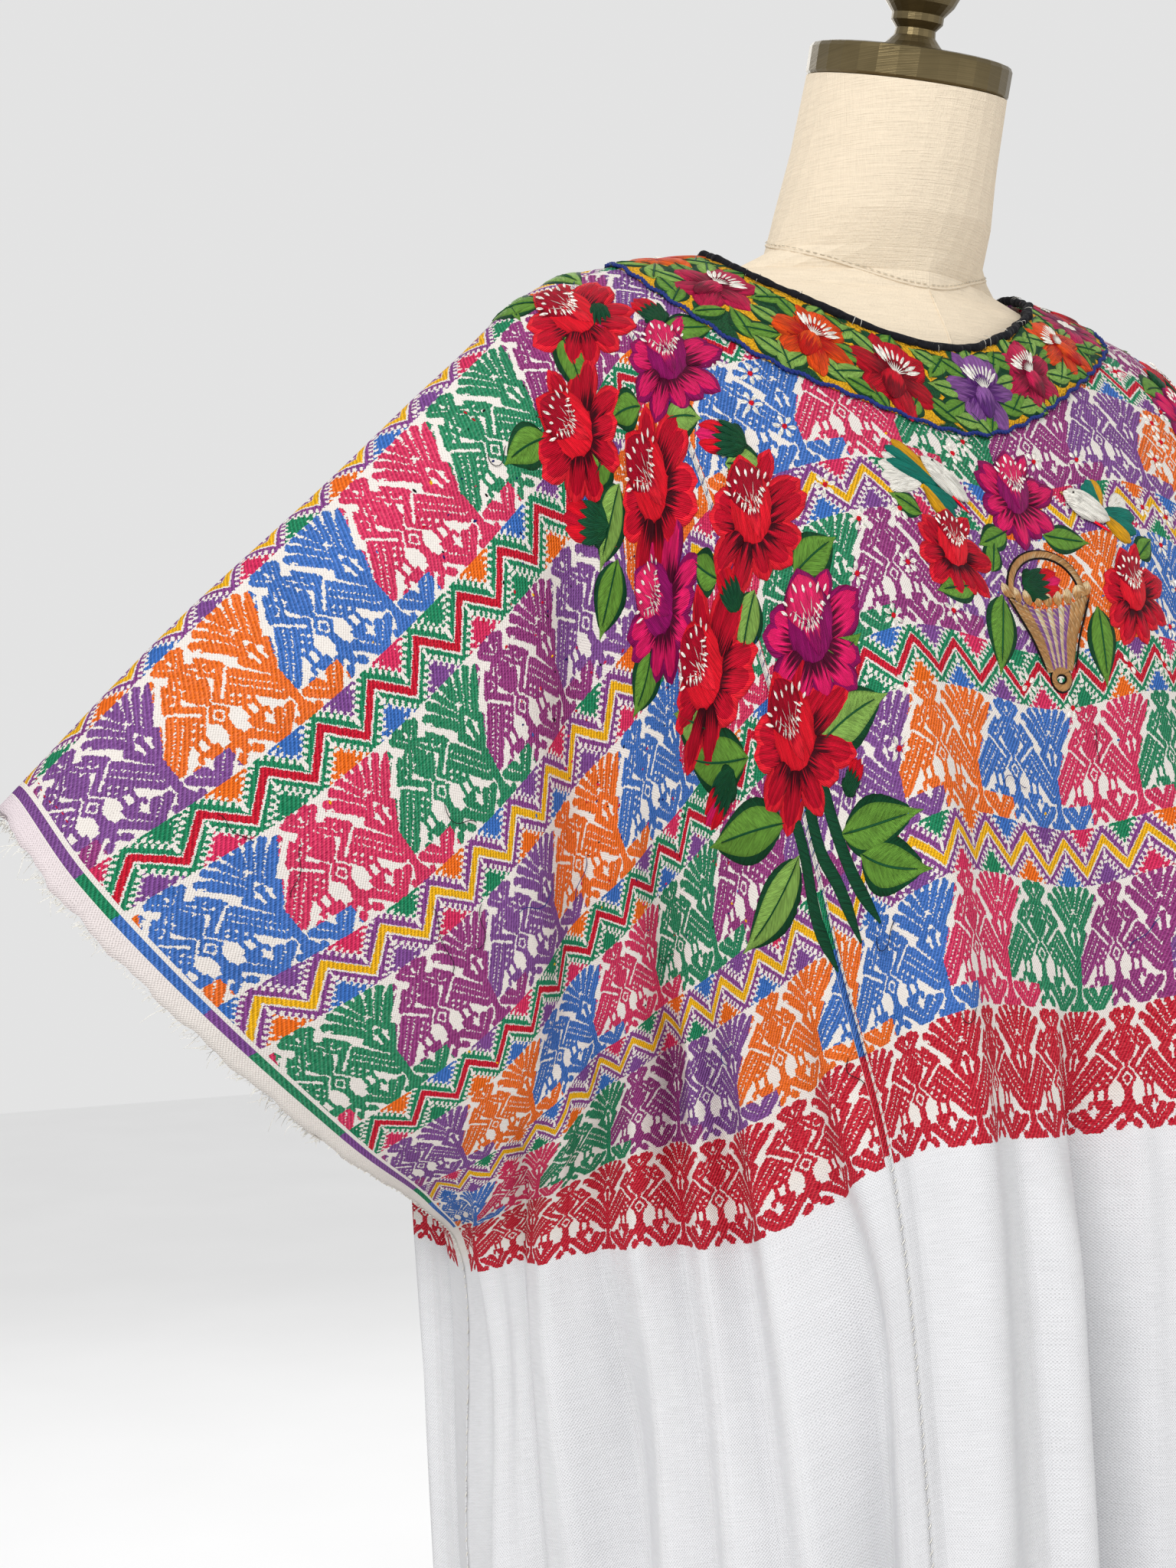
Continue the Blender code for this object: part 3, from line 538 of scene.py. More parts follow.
def zigzag(wiring, x, y, band):
    """Yarn and colour of a zigzag band: a line, a comb along it with lens gaps, and feathered wedges."""
    half = abs(x.through(HALF_UNIT) - 0.5) * HALF_UNIT
    middle = (ZIGZAG + HALF_UNIT / 2) / 2
    off = (y - middle + half) / math.sqrt(2)
    beyond = abs(off)
    tooth = ((half - y) / math.sqrt(2)).through(0.0033) < 0.5
    to_corner = (off > 0.0) * (HALF_UNIT / 2 - half) + (off < 0.0) * half
    lens = (to_corner < 0.0010) & (beyond > 0.0034) & (beyond < 0.0078)
    line = beyond < 0.0018
    comb = ((beyond > 0.0026) & (beyond < 0.0050)) | ((beyond > 0.0049) & (beyond < 0.0074) & tooth)
    comb = comb & (1.0 - lens)
    feather = y.through(0.0030) < 0.58
    wedge = ((beyond > 0.0092) & (feather | (to_corner < 0.0042))) | ((beyond > 0.0076) & (1.0 - tooth))
    yellow_row = (band % 2.0) < 0.5
    wedge_number = (x / HALF_UNIT + 0.5 * (off > 0.0)).floor() * 2.0 + band + (off > 0.0)
    line_colour = wiring.mix(yellow_row, CRIMSON, YELLOW)
    comb_colour = wiring.mix(yellow_row, GREEN, wiring.mix(0.35, PURPLE, PLUM))
    wedge_colour = pick(wiring, TOOTH_ORDER, wedge_number)
    colour = wiring.mix(line, wiring.mix(wedge, comb_colour, wedge_colour), line_colour)
    return line | comb | wedge, colour


def blocks(wiring, x, deep, along, band, in_red_band):
    """Yarn and colour of the motif blocks: the chart mirrored in each unit, with a colour for each block."""
    from_red = along - RED_BAND
    block_deep = wiring.math("MULTIPLY_ADD", in_red_band, from_red, (1.0 - in_red_band) * (deep - ZIGZAG))
    row = (block_deep / CELL).floor().most(0.0).least(CHART_HIGH - 1.0)
    column = (abs(x.through(UNIT) - 0.5) * (UNIT / CELL)).floor().least(CHART_WIDE - 1.0)
    shift = (0.0205 - (row - 6.0).most(0.0) * 0.0004).most(0.0019) + (row > 71.5) * 0.0256
    unit = ((x - shift) / UNIT).floor()
    colour = wiring.mix(in_red_band, pick(wiring, BLOCK_ORDER, unit + band * 2.0), CRIMSON)
    return chart_cell(wiring, column, row), colour


def stripes(wiring, across, deep, along, band, in_red_band):
    """Room for motifs between the stripes at both selvedges, then yarn and colour of the stripes."""
    clear = (across > 0.0172) & (across < wiring.math("MULTIPLY_ADD", along > SEAM_STRIPE, -0.0026, 0.4182))
    outer = (across > 0.0105) & (across < 0.0150) & (along < RED_BAND)
    inner = (across > 0.4158) & (along < RED_END) & (along > SEAM_STRIPE)
    colour = pick(wiring, STRIPE_ORDER, band * 2.0 + (deep > ZIGZAG))
    return clear, outer | inner, wiring.mix(in_red_band, colour, CRIMSON)


def brocade(name, striped):
    """White plain weave with brocaded bands. The map gives the distance from the selvedge, and w."""
    wiring = Wiring(name, roughness=0.82, Specular_IOR_Level=0.12)
    across, signed = wiring.uv("cloth")
    place = wiring.vector(across, signed)
    wander = wiring.noise(place, 620.0, 1.0) - 0.5
    ragged = wiring.noise(wiring.vector(across * 900.0, signed * 300.0), 1.0, 1.0) - 0.5
    along = abs(signed) + ragged * 0.0016
    x = (across + wander * 0.0022).stepped(CELL)
    band = ((along + BAND_SHIFT) / BAND).floor()
    deep = along + BAND_SHIFT - band * BAND
    in_red_band = along > RED_BAND
    in_zigzag = (deep < ZIGZAG) & (1.0 - in_red_band)
    zigzag_yarn, zigzag_colour = zigzag(wiring, x, deep.stepped(CELL), band)
    block_yarn, block_colour = blocks(wiring, x, deep, along, band, in_red_band)
    filled = in_zigzag * zigzag_yarn + ((1.0 - in_zigzag) & (along < BLOCKS_END)) * block_yarn
    yarn = wiring.mix(in_zigzag, block_colour, zigzag_colour)
    bare = wiring.mix(along.spread(0.50, 0.53), GROUND, PLAIN_GROUND)
    if striped:
        clear, edge, edge_colour = stripes(wiring, across, deep, along, band, in_red_band)
        filled = (filled & clear) | edge
        yarn = wiring.mix(edge, yarn, edge_colour)
        bare = wiring.mix((across < 0.0100) * (0.55 - along * 3.0).most(0.0), bare, dye(220, 200, 216))
    else:
        filled = filled & (abs(across - CENTRE_HALF) < CENTRE_HALF - 0.0018)
    # twist, rows and floats of the yarn, weave and slubs of the ground, and the relief of both
    tick = (across + signed * 0.7).wave(0.0024)
    rows = signed.wave(0.0011)
    weave = across.wave(0.0017) * signed.wave(0.0017)
    fuzz = wiring.noise(place, 1500.0, 2.0)
    patch = wiring.noise(place, 45.0, 2.0)
    floats = wiring.noise(wiring.vector(across * 420.0, signed * 900.0), 1.0, 2.0)
    slub = wiring.noise(wiring.vector(across * 60.0, signed * 1100.0), 1.0, 2.0)
    yarn = wiring.mix((floats - 0.32) * (0.24 - in_zigzag * 0.14), yarn, PALE_YARN)
    # partly painted shade: the tick wave and the float noise lighten and darken the yarn as painted light and
    # shade on its twist and between its floats, besides varying its tone; fuzz and patch noise vary its tone
    yarn = wiring.shade(yarn, 0.13 + fuzz * 0.40 + patch * 0.30 + floats * 0.62 + tick * 0.20)
    ground = wiring.shade(bare, 0.755 + fuzz * 0.14 + patch * 0.08 + slub * 0.16 + weave * 0.09)
    raised = filled * (0.70 + tick * 0.20 + rows * 0.10 + floats * 0.40)
    height = raised + (1.0 - filled) * (weave * 0.15 + slub * 0.3)
    colour = wiring.mix(filled, ground, yarn)
    return wiring.finish(colour, height, 0.0014, 1.0, 0.84 - filled * 0.16 + fuzz * 0.08)


STITCH = 0.00075


def floss():
    """Satin stitch: a shape's two dyes meet in a ragged line, and threads run along the second map axis."""
    wiring = Wiring("embroidery_floss", roughness=0.46, Specular_IOR_Level=0.16)
    side, reach = wiring.uv("stitch")
    number = (side / STITCH).floor()
    ragged = wiring.noise(wiring.vector(number * 0.37, 0.5), 9.0, 1.0) - 0.5
    share = (reach + ragged * 0.80).spread(0.40, 0.60)
    inner = wiring.attribute("inner_dye")
    outer = wiring.attribute("outer_dye")
    thread = side.wave(STITCH)
    length = wiring.noise(wiring.vector(side * 1400.0, reach * 4.0), 1.0, 2.0)
    strands_and_glints = wiring.noise(wiring.vector(side * 640.0, reach * 2.2), 1.0, 1.0)
    mixed = wiring.mix(share, inner, outer)
    # painted highlights and shade: the thread wave and the length and strand noises lighten and darken the
    # dye as painted glints of the satin threads, besides varying their tone
    colour = wiring.shade(mixed, thread * 0.12 + length * 1.15 + strands_and_glints * 1.35 - 0.18)
    relief = thread * 0.5 + length * 0.9 + strands_and_glints * 0.9
    return wiring.finish(colour, relief, 0.0007, 1.0, 0.34 + length * 0.30)


# Making pieces

def lattice(rows, columns, first=0, ring=False, loop=False):
    """Faces between rows of points. In a ring each row runs round, and in a loop the rows do too."""
    return [(first + r * columns + c, first + r * columns + (c + 1) % columns,
             first + (r + 1) % rows * columns + (c + 1) % columns, first + (r + 1) % rows * columns + c)
            for r in range(rows if loop else rows - 1) for c in range(columns if ring else columns - 1)]


def new_piece(name, points, faces, material):
    """A smooth mesh object with one material."""
    mesh = bpy.data.meshes.new(name)
    mesh.from_pydata(points.tolist(), [], faces)
    mesh.materials.append(material)
    mesh.shade_smooth()
    piece = bpy.data.objects.new(name, mesh)
    bpy.context.collection.objects.link(piece)
    return piece


def add_map(piece, name, places):
    """A map that gives each point its place."""
    mesh = piece.data
    corner = np.zeros(len(mesh.loops), dtype=np.int64)
    mesh.loops.foreach_get("vertex_index", corner)
    mesh.uv_layers.new(name=name).data.foreach_set("uv", places[corner].ravel())


def face_out(piece, outward=None):
    """Turns the faces of a laid piece away from the cloth, or those of a closed piece outward."""
    shape = bmesh.new()
    shape.from_mesh(piece.data)
    if outward is None:
        bmesh.ops.recalc_face_normals(shape, faces=shape.faces)
    else:
        turned = [face for face in shape.faces if face.normal.dot(Vector(outward[face.verts[0].index])) < 0]
        bmesh.ops.reverse_faces(shape, faces=turned)
    shape.to_mesh(piece.data)
    shape.free()


def ride(piece):
    """Puts a piece on the root body."""
    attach(piece, "root")
    return piece


def rings_round(path, radii, sides, side_on, closed=False):
    """Rings of points round a path; side_on is a direction that the path doesn't follow."""
    path = np.asarray(path, float)
    ahead = np.roll(path, -1, 0) - np.roll(path, 1, 0) if closed else np.gradient(path, axis=0)
    ahead /= np.linalg.norm(ahead, axis=1)[:, None] + 1e-12
    aside = np.cross(ahead, side_on)
    aside /= np.linalg.norm(aside, axis=1)[:, None] + 1e-12
    upright = np.cross(aside, ahead)
    turn = np.linspace(0, 2 * math.pi, sides, endpoint=False)[None, :, None]
    spoke = np.cos(turn) * aside[:, None] + np.sin(turn) * upright[:, None]
    return path[:, None] + np.broadcast_to(radii, len(path))[:, None, None] * spoke


def away(at, angle, reach):
    """The place at a reach from another, along an angle."""
    return at[0] + reach * math.cos(angle), at[1] + reach * math.sin(angle)


def aim(start, end):
    """Angle and length of the way from one place to another."""
    across, along = end[0] - start[0], end[1] - start[1]
    return math.atan2(along, across), math.hypot(across, along)


def spread_out(at, turn, ahead, aside):
    """Places ahead of a foot and to its side, where the way ahead turns."""
    return (at[0] + (ahead * np.cos(turn) - aside * np.sin(turn)),
            at[1] + (ahead * np.sin(turn) + aside * np.cos(turn)))


def shares(cells):
    """Shares of the way along a stitched shape, as a column, and across it, as a row."""
    return np.linspace(0.0, 1.0, cells[0] + 1)[:, None], np.linspace(-1.0, 1.0, cells[1] + 1)[None, :]


# Stitched work: pieces given on the flat cloth and laid on its hanging shape

class Stitching:
    """Collects raised satin-stitch shapes and lays them on the cloth as one piece."""

    def __init__(self, base=0.0006):
        self.base = base
        self.points = []
        self.faces = []
        self.stitch = []
        self.inner = []
        self.outer = []
        self.count = 0

    def patch(self, u, w, lift, side, reach, inner, outer):
        """Adds a grid of points: arrays with a row for each place along the shape."""
        rows, columns = u.shape
        index = self.count + np.arange(rows * columns).reshape(rows, columns)
        self.points.append(np.stack([u.ravel(), w.ravel(), lift.ravel()], 1))
        self.stitch.append(np.stack([side.ravel(), reach.ravel()], 1))
        rim = np.ones((rows, columns))
        if columns > 6:
            # the outermost threads of a wide shape are in its shadow
            rim[:, [0, -1]] = 0.55
        self.inner.append(rim.ravel()[:, None] * np.array(inner))
        self.outer.append(rim.ravel()[:, None] * np.array(outer))
        quads = np.stack([index[:-1, :-1], index[:-1, 1:], index[1:, 1:], index[1:, :-1]], -1)
        self.faces.append(quads.reshape(-1, 4))
        self.count += rows * columns

    def petal(self, at, angle, length, width, inner, outer, rise=0.0012, lift=0.0, tip=1.0, bend=0.0,
              fullest=0.5, cells=(8, 6)):
        """A padded petal, widest at fullest. Threads run from foot to tip, and the dye changes on the way."""
        s, t = shares(cells)
        blunt = math.log(0.5) / math.log(fullest)
        profile = np.sin(math.pi * np.clip(s, 0.004, 0.996) ** blunt) ** (0.6 * tip)
        half = width / 2 * profile
        u, w = spread_out(at, angle + bend * s, length * s, t * half)
        height = self.base + lift + rise * np.sqrt(np.clip((1 - t * t) * profile, 0, 1)) - 0.0004
        self.patch(u, w, height, t * half + at[0] * 3.1 + 0 * s, s + 0 * t, inner, outer)

    def widen(self, first, middle, factor):
        """Spreads the shapes from number first on, across the cloth from its middle."""
        for points in self.points[first:]:
            points[:, 0] = middle + (points[:, 0] - middle) * factor

    def leaf(self, foot, tip, width, blade, edge, rise=0.0012, cells=(12, 8), bend=0.0):
        """A leaf in feather stitch: threads slant from a midrib to a darker edge."""
        angle, length = aim(foot, tip)
        s, t = shares(cells)
        profile = np.sin(math.pi * np.clip(s, 0.004, 0.996) ** 0.76) ** 1.05
        ahead = length * s
        groove = 1.0 - 0.5 * np.exp(-(t / 0.14) ** 2)
        rim, inside = width / 2 * profile, width / 2.7 * profile ** 1.3
        for half, dye_of, more in ((rim, edge, -0.0003), (inside, blade, 0.0002)):
            u, w = spread_out(foot, angle + bend * (s - 0.5), ahead, t * half)
            height = self.base + rise * np.sqrt(np.clip(1 - t * t, 0, 1)) * groove * profile + more
            slanted = ahead * 0.8 - np.abs(t) * half * 0.9 + foot[0]
            self.patch(u, w, height, slanted, np.abs(t) + 0 * s, dye_of, dye_of)
        steps = np.linspace(0.02, 0.82, 7)
        path = spread_out(foot, angle + bend * (steps - 0.5), length * steps, 0.0)
        self.strand(np.stack(path, 1), 0.00055, edge, lift=rise * 0.62)

    def ribbon(self, path, width, inner, outer, rise=0.0011, lift=0.0, ends=(0.5, 0.2)):
        """A stem or band covered with slanted satin stitches."""
        ahead = np.gradient(path, axis=0)
        ahead /= np.linalg.norm(ahead, axis=1)[:, None]
        reach = np.r_[0.0, np.cumsum(np.linalg.norm(np.diff(path, axis=0), axis=1))]
        s = (reach / reach[-1])[:, None]
        t = np.linspace(-1.0, 1.0, 7)[None, :]
        start, end = ends
        taper = np.minimum(1.0, start + (1 - start) * s / 0.15)
        half = width / 2 * (taper * np.minimum(1.0, end + (1 - end) * (1 - s) / 0.2))
        height = self.base + lift + rise * np.sqrt(1 - t * t) - 0.0003 + 0 * s
        self.patch(path[:, :1] - t * half * ahead[:, 1:], path[:, 1:] + t * half * ahead[:, :1], height,
                   reach[:, None] + 0.9 * t * half, 0.35 + 0.12 * t + 0 * s, inner, outer)

    def strand(self, path, radius, colour, tip_colour=None, lift=0.0, height=None):
        """A round thread through places on the cloth."""
        path = np.asarray(path, float)
        ahead = np.gradient(path, axis=0)
        ahead /= np.linalg.norm(ahead, axis=1)[:, None] + 1e-12
        taper = np.ones((len(path), 1))
        taper[[0, -1]] = 0.35
        turn = np.linspace(0, 2 * math.pi, 5)[None, :]
        u = path[:, :1] - ahead[:, 1:] * radius * taper * np.cos(turn)
        w = path[:, 1:] + ahead[:, :1] * radius * taper * np.cos(turn)
        middle = self.base + lift + radius * 0.6 if height is None else height[:, None] + self.base
        self.patch(u, w, middle + radius * taper * np.sin(turn), turn * 0.0002 + 0 * u,
                   np.linspace(0, 1, len(path))[:, None] + 0 * turn, colour, tip_colour or colour)

    def make(self, name):
        """The shapes laid on the hanging cloth as one piece."""
        points = np.concatenate(self.points)
        places = cloth.lay(*points.T)
        piece = new_piece(name, places, np.concatenate(self.faces).tolist(), floss_material)
        add_map(piece, "stitch", np.concatenate(self.stitch))
        for attribute, values in (("inner_dye", self.inner), ("outer_dye", self.outer)):
            layer = piece.data.color_attributes.new(name=attribute, type="FLOAT_COLOR", domain="POINT")
            colours = np.concatenate(values)
            layer.data.foreach_set("color", np.c_[colours, np.ones(len(colours))].ravel())
        face_out(piece, cloth.lay(points[:, 0], points[:, 1], points[:, 2] + 0.002) - places)
        return ride(piece)


floss_material = floss()


# Cloth panels

def cloth_piece(name, places, faces, selvedge, material, thick=0.0012, lift=0.0):
    """A thin shell on the hanging cloth. selvedge turns u into the distance from the panel's selvedge."""
    places = np.asarray(places, float)
    u, w = places.T
    points = cloth.lay(u, w, lift)
    piece = new_piece(name, points, faces, material)
    add_map(piece, "cloth", np.stack([selvedge(u), w], 1))
    face_out(piece, cloth.lay(u, w, 0.002) - points)
    bpy.ops.object.select_all(action="DESELECT")
    bpy.context.view_layer.objects.active = piece
    shell = piece.modifiers.new("shell", "SOLIDIFY")
    shell.thickness = thick
    shell.offset = 0.0
    bpy.ops.object.modifier_apply(modifier=shell.name)
    return piece


def sheet(piece, node, flat, held="draped", rests_on="form_torso", **area):
    """Hides the CAD node that a cloth replaces. The size of its whole cut and what holds it are not used."""
    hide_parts(node)
    return piece


def neck_oval(angle, grow):
    """The neck hole grown outward. Over the wearer's right front it is pulled wide, with the collar."""
    drop = np.where(np.sin(angle) > 0, NECK_FRONT, NECK_BACK)
    pull = 0.028 * np.clip(np.cos(angle - 2.5), 0.0, 1.0) ** 3 * (1.0 + 0.4 * grow / COLLAR_WIDTH)
    return NECK_SHIFT + (NECK_HALF + grow + pull) * np.cos(angle), (drop + grow + pull) * np.sin(angle)


def side_panel(name, side, material):
    """One outer loom width, with a selvedge that waves along the armhole."""
    columns = side * np.linspace(CENTRE_HALF + SEAM_GAP, CLOTH_EDGE, 85)
    rows = np.linspace(-CLOTH_LENGTH, CLOTH_LENGTH, Drape.LONG)
    places = []
    for w in rows:
        wave = 0.0012 + 0.0008 * math.sin(w * 150.0 + side) + 0.0005 * math.sin(w * 390.0)
        places += [(u - side * float(ease(0.610, CLOTH_EDGE, abs(u))) * wave, w) for u in columns]
    piece = cloth_piece(name + "_cloth", places, lattice(len(rows), len(columns)),
                        lambda u: CLOTH_EDGE - np.abs(u), material)
    ride(sheet(piece, name, (0.420, 1.720)))


def centre_panel():
    """The middle loom width: rings from the neck hole out to a square, then rows front and back."""
    half = CENTRE_HALF - SEAM_GAP
    columns = np.linspace(-half, half, 83)
    sides = np.linspace(-RINGS_END, RINGS_END, 81)
    edge = np.array([(u, -RINGS_END) for u in columns[:-1]] + [(half, w) for w in sides[:-1]]
                    + [(u, RINGS_END) for u in columns[:0:-1]] + [(-half, w) for w in sides[:0:-1]])
    start = np.stack(neck_oval(np.arctan2(edge[:, 1] / RINGS_END, edge[:, 0] / CENTRE_HALF), 0.0), 1)
    rings = [start + (edge - start) * share for share in np.linspace(0.0, 1.0, 25)]
    places = [tuple(place) for ring in rings for place in ring]
    faces = lattice(len(rings), len(edge), ring=True)
    number = {(round(u, 6), round(w, 6)): index for index, (u, w) in enumerate(places)}
    for face in (1, -1):
        rows = face * np.linspace(RINGS_END, CLOTH_LENGTH, 133)
        index = []
        for place in ((u, w) for w in rows for u in columns):
            key = (round(place[0], 6), round(place[1], 6))
            if key not in number:
                number[key] = len(places)
                places.append(place)
            index.append(number[key])
        faces += [tuple(index[corner] for corner in cell) for cell in lattice(len(rows), len(columns))]
    piece = cloth_piece("centre_panel_cloth", places, faces, lambda u: u + CENTRE_HALF,
                        brocade("brocade_centre", False))
    ride(sheet(piece, "centre_panel", (0.410, 1.720), area=0.410 * 1.720 - 0.026))


centre_panel()
side_brocade = brocade("brocade_with_selvedge", True)
side_panel("side_panel_right", -1, side_brocade)
side_panel("side_panel_left", 1, side_brocade)


# Embroidered sprays

SCARLET = dye(226, 20, 44)
WINE = dye(132, 8, 34)
MAGENTA = dye(206, 34, 98)
MULBERRY = dye(120, 20, 74)
LEAF = dye(116, 166, 68)
LIGHT_LEAF = dye(148, 190, 94)
BOTTLE = dye(26, 80, 50)
STEM = dye(26, 82, 56)
MILK = dye(255, 251, 240)
FLAME = dye(238, 84, 26)
GOLD = dye(230, 168, 30)
TEAL = dye(18, 128, 112)
LILAC = dye(150, 96, 168)
DEEP_LILAC = dye(98, 48, 122)
TAN = dye(202, 150, 96)
CREAM = dye(236, 208, 164)
INK = dye(22, 18, 18)
GREY = dye(120, 120, 116)
# Rim, body and foot of the outer petals, then wall and throat of the cup
RED_ROSE = (dye(242, 40, 58), dye(200, 14, 48), dye(74, 2, 28), dye(236, 30, 50), dye(178, 6, 46))
PINK_ROSE = (dye(152, 18, 98), dye(232, 34, 106), dye(88, 6, 50), dye(150, 20, 102), dye(236, 48, 108))

# Outer petals of a rose: turn from the top, length and width as shares of its size
ROSE_PETALS = (
    (0.38, 0.60, 0.20), (-0.70, 0.50, 0.24), (0.98, 0.54, 0.26), (1.46, 0.56, 0.24), (-1.28, 0.52, 0.25),
    (-1.84, 0.52, 0.24), (2.02, 0.55, 0.24), (2.62, 0.52, 0.23), (-2.60, 0.54, 0.25), (-3.10, 0.50, 0.22),
)


def rose(work, at, size, turn, dyes, spread=1.0):
    """A rose: pairs of rimmed outer petals round a pointed cup with a throat of white stamens."""
    rim, body, foot, wall, throat = dyes
    up = math.pi / 2 + turn + math.pi
    first = len(work.points)

    def beside(ahead, aside=0.0):
        """A place ahead of the rose's middle and to its side, in shares of its size."""
        return (at[0] + size * (ahead * math.cos(up) - aside * math.sin(up)),
                at[1] + size * (ahead * math.sin(up) + aside * math.cos(up)))

    def petal(foot_at, turned, long, wide, *dyes, **settings):
        """A petal with its length and width in shares of the rose's size."""
        work.petal(foot_at, up + turned, size * long, size * wide, *dyes, **settings)

    # outer petals: a bright rim under a darker body
    for number, (angle, length, width) in enumerate(ROSE_PETALS):
        length *= 1.0 + 0.10 * math.sin(number * 2.3 + at[0] * 90)
        lift = 0.0002 + 0.0004 * (number % 2)
        shape = {"tip": 1.1, "bend": 0.12 * (-1) ** number, "cells": (9, 6)}
        petal(beside(-0.08), angle, length, width * 1.12, rim, rim, rise=0.0014, lift=lift, fullest=0.68,
              **shape)
        petal(beside(-0.08), angle, length - 0.035, width * 0.90, foot, body, rise=0.0015, lift=lift + 0.0004,
              fullest=0.66, **shape)
    # cup, light on one side of it, and throat
    petal(beside(-0.25), 0, 0.72, 0.50, wall, wall, rise=0.0024, lift=0.0012, fullest=0.44, tip=1.15,
          cells=(12, 8))
    petal(beside(-0.20, 0.02), -0.10, 0.34, 0.17, rim, throat, rise=0.0014, lift=0.0030, fullest=0.6)
    petal(beside(-0.02, -0.01), 0, 0.44, 0.36, throat, throat, rise=0.0016, lift=0.0026, fullest=0.46,
          cells=(10, 8))
    # stamens with their heads
    for number in range(9):
        turned = (number - 4) * 0.21
        reach = np.linspace(0.03, 0.27 + 0.03 * (number % 2) - 0.006 * abs(number - 4), 5) * size
        path = [away(at, up + turned, part) for part in reach]
        work.strand(path[:4 if number % 2 else 3], 0.0002, rim, MILK, lift=0.0042)
        petal(path[-1], turned, 0.085 - 0.02 * (number % 3), 0.024, MILK, MILK, rise=0.0009, lift=0.0042,
              cells=(4, 4))
    # white fringe across the mouth of the cup
    for number in range(19):
        share = (number - 9) / 9.0
        fringe = beside(-0.02 + 0.17 * share * share + 0.02 * math.sin(number * 4.1), 0.165 * share)
        long = (0.11 - 0.05 * abs(share)) * (1.0 + 0.35 * math.sin(number * 2.9 + at[1] * 70))
        petal(fringe, -0.7 * share, long, 0.015, MILK, (MILK, rim)[number % 3 == 0], rise=0.0008, lift=0.0040,
              cells=(4, 4))
    work.widen(first, at[0], spread)


def bud(work, foot, tip, dyes):
    """A bud: a green cup with toothed edge round a bright tip."""
    angle, length = aim(foot, tip)
    for side in (-1, 0, 1):
        work.petal(foot, angle + side * 0.16, length * (1.0 - 0.06 * abs(side)), length * 0.40, dyes[2],
                   (SCARLET, dyes[1])[side == 0], rise=0.0020, fullest=0.62, tip=1.2)
    work.petal(foot, angle, length * 0.44, length * 0.62, BOTTLE, STEM, rise=0.0022, lift=0.0008)
    for side in (-2, -1, 0, 1, 2):
        work.petal(foot, angle + side * 0.34, length * (0.70 - 0.03 * abs(side)), length * 0.17, BOTTLE, STEM,
                   rise=0.0014, lift=0.0016, tip=1.4, bend=-side * 0.12, cells=(8, 4))


def florets(work, places, step):
    """Six-petalled white florets with a red heart, each turned by a step more."""
    size = 0.0135
    for order, at in enumerate(places):
        for number in range(6):
            angle = order * step + number * math.pi / 3
            work.petal(away(at, angle, 0.10 * size), angle, size * 0.42, size * 0.24, MILK, MILK, rise=0.0013,
                       cells=(5, 4), fullest=0.6)
        work.petal((at[0] - size * 0.12, at[1]), 0.0, size * 0.24, size * 0.24, SCARLET, SCARLET, lift=0.0004,
                   cells=(4, 4))


# One spray on the flat cloth, in millimetres outward from the middle line and down from the fold.
# A rose has its place, size, turn, width as a share of its height, and dyes.
SPRAY_ROSES = (
    (228, 41, 62, 0.10, 1.10, RED_ROSE), (196, 98, 58, -0.25, 1.00, PINK_ROSE),
    (276, 76, 60, 0.30, 1.20, RED_ROSE), (243, 138, 64, 0.05, 1.30, RED_ROSE),
    (184, 190, 62, -0.15, 1.05, RED_ROSE), (276, 180, 58, 0.35, 1.35, PINK_ROSE),
    (166, 253, 66, -0.10, 1.00, PINK_ROSE), (252, 232, 66, 0.25, 1.35, RED_ROSE),
    (200, 296, 70, 0.05, 1.05, RED_ROSE),
)
SPRAY_BUDS = (
    (206, -44, 222, -66, PINK_ROSE), (182, 74, 188, 50, RED_ROSE), (170, 156, 196, 138, PINK_ROSE),
    (288, 122, 312, 98, RED_ROSE), (212, 226, 216, 200, RED_ROSE), (250, 286, 282, 292, PINK_ROSE),
    (176, 336, 156, 322, RED_ROSE),
)
SPRAY_LEAVES = (
    (222, 328, 286, 306, 30), (218, 346, 268, 372, 30), (182, 348, 128, 362, 28), (172, 362, 136, 396, 28),
    (180, 304, 130, 296, 32), (232, 284, 290, 254, 32), (232, 20, 256, -16, 26), (204, 16, 196, -28, 24),
    (240, -40, 262, -80, 26), (262, 98, 292, 104, 24), (272, 120, 312, 132, 26), (296, 140, 326, 160, 24),
    (290, 184, 320, 206, 26), (262, 252, 292, 226, 28), (176, 276, 138, 272, 30), (168, 226, 136, 214, 28),
    (186, 160, 160, 172, 24), (184, 76, 158, 90, 24), (228, 110, 252, 94, 22), (214, 126, 188, 132, 24),
    (220, 206, 236, 186, 22), (300, 70, 328, 56, 24), (196, 222, 222, 246, 24),
)
SPRAY_STEMS = (
    ((212, 312), (214, 345), (212, 375), (206, 406)), ((200, 312), (198, 345), (194, 372), (187, 402)),
    ((190, 312), (186, 340), (178, 368), (168, 398)),
)
SPRAY_FLORETS = (
    (142, 86), (150, 118), (142, 150), (136, 190), (128, 236), (136, 330), (120, 300), (166, 104),
    (156, 134), (122, 212), (112, 262),
)


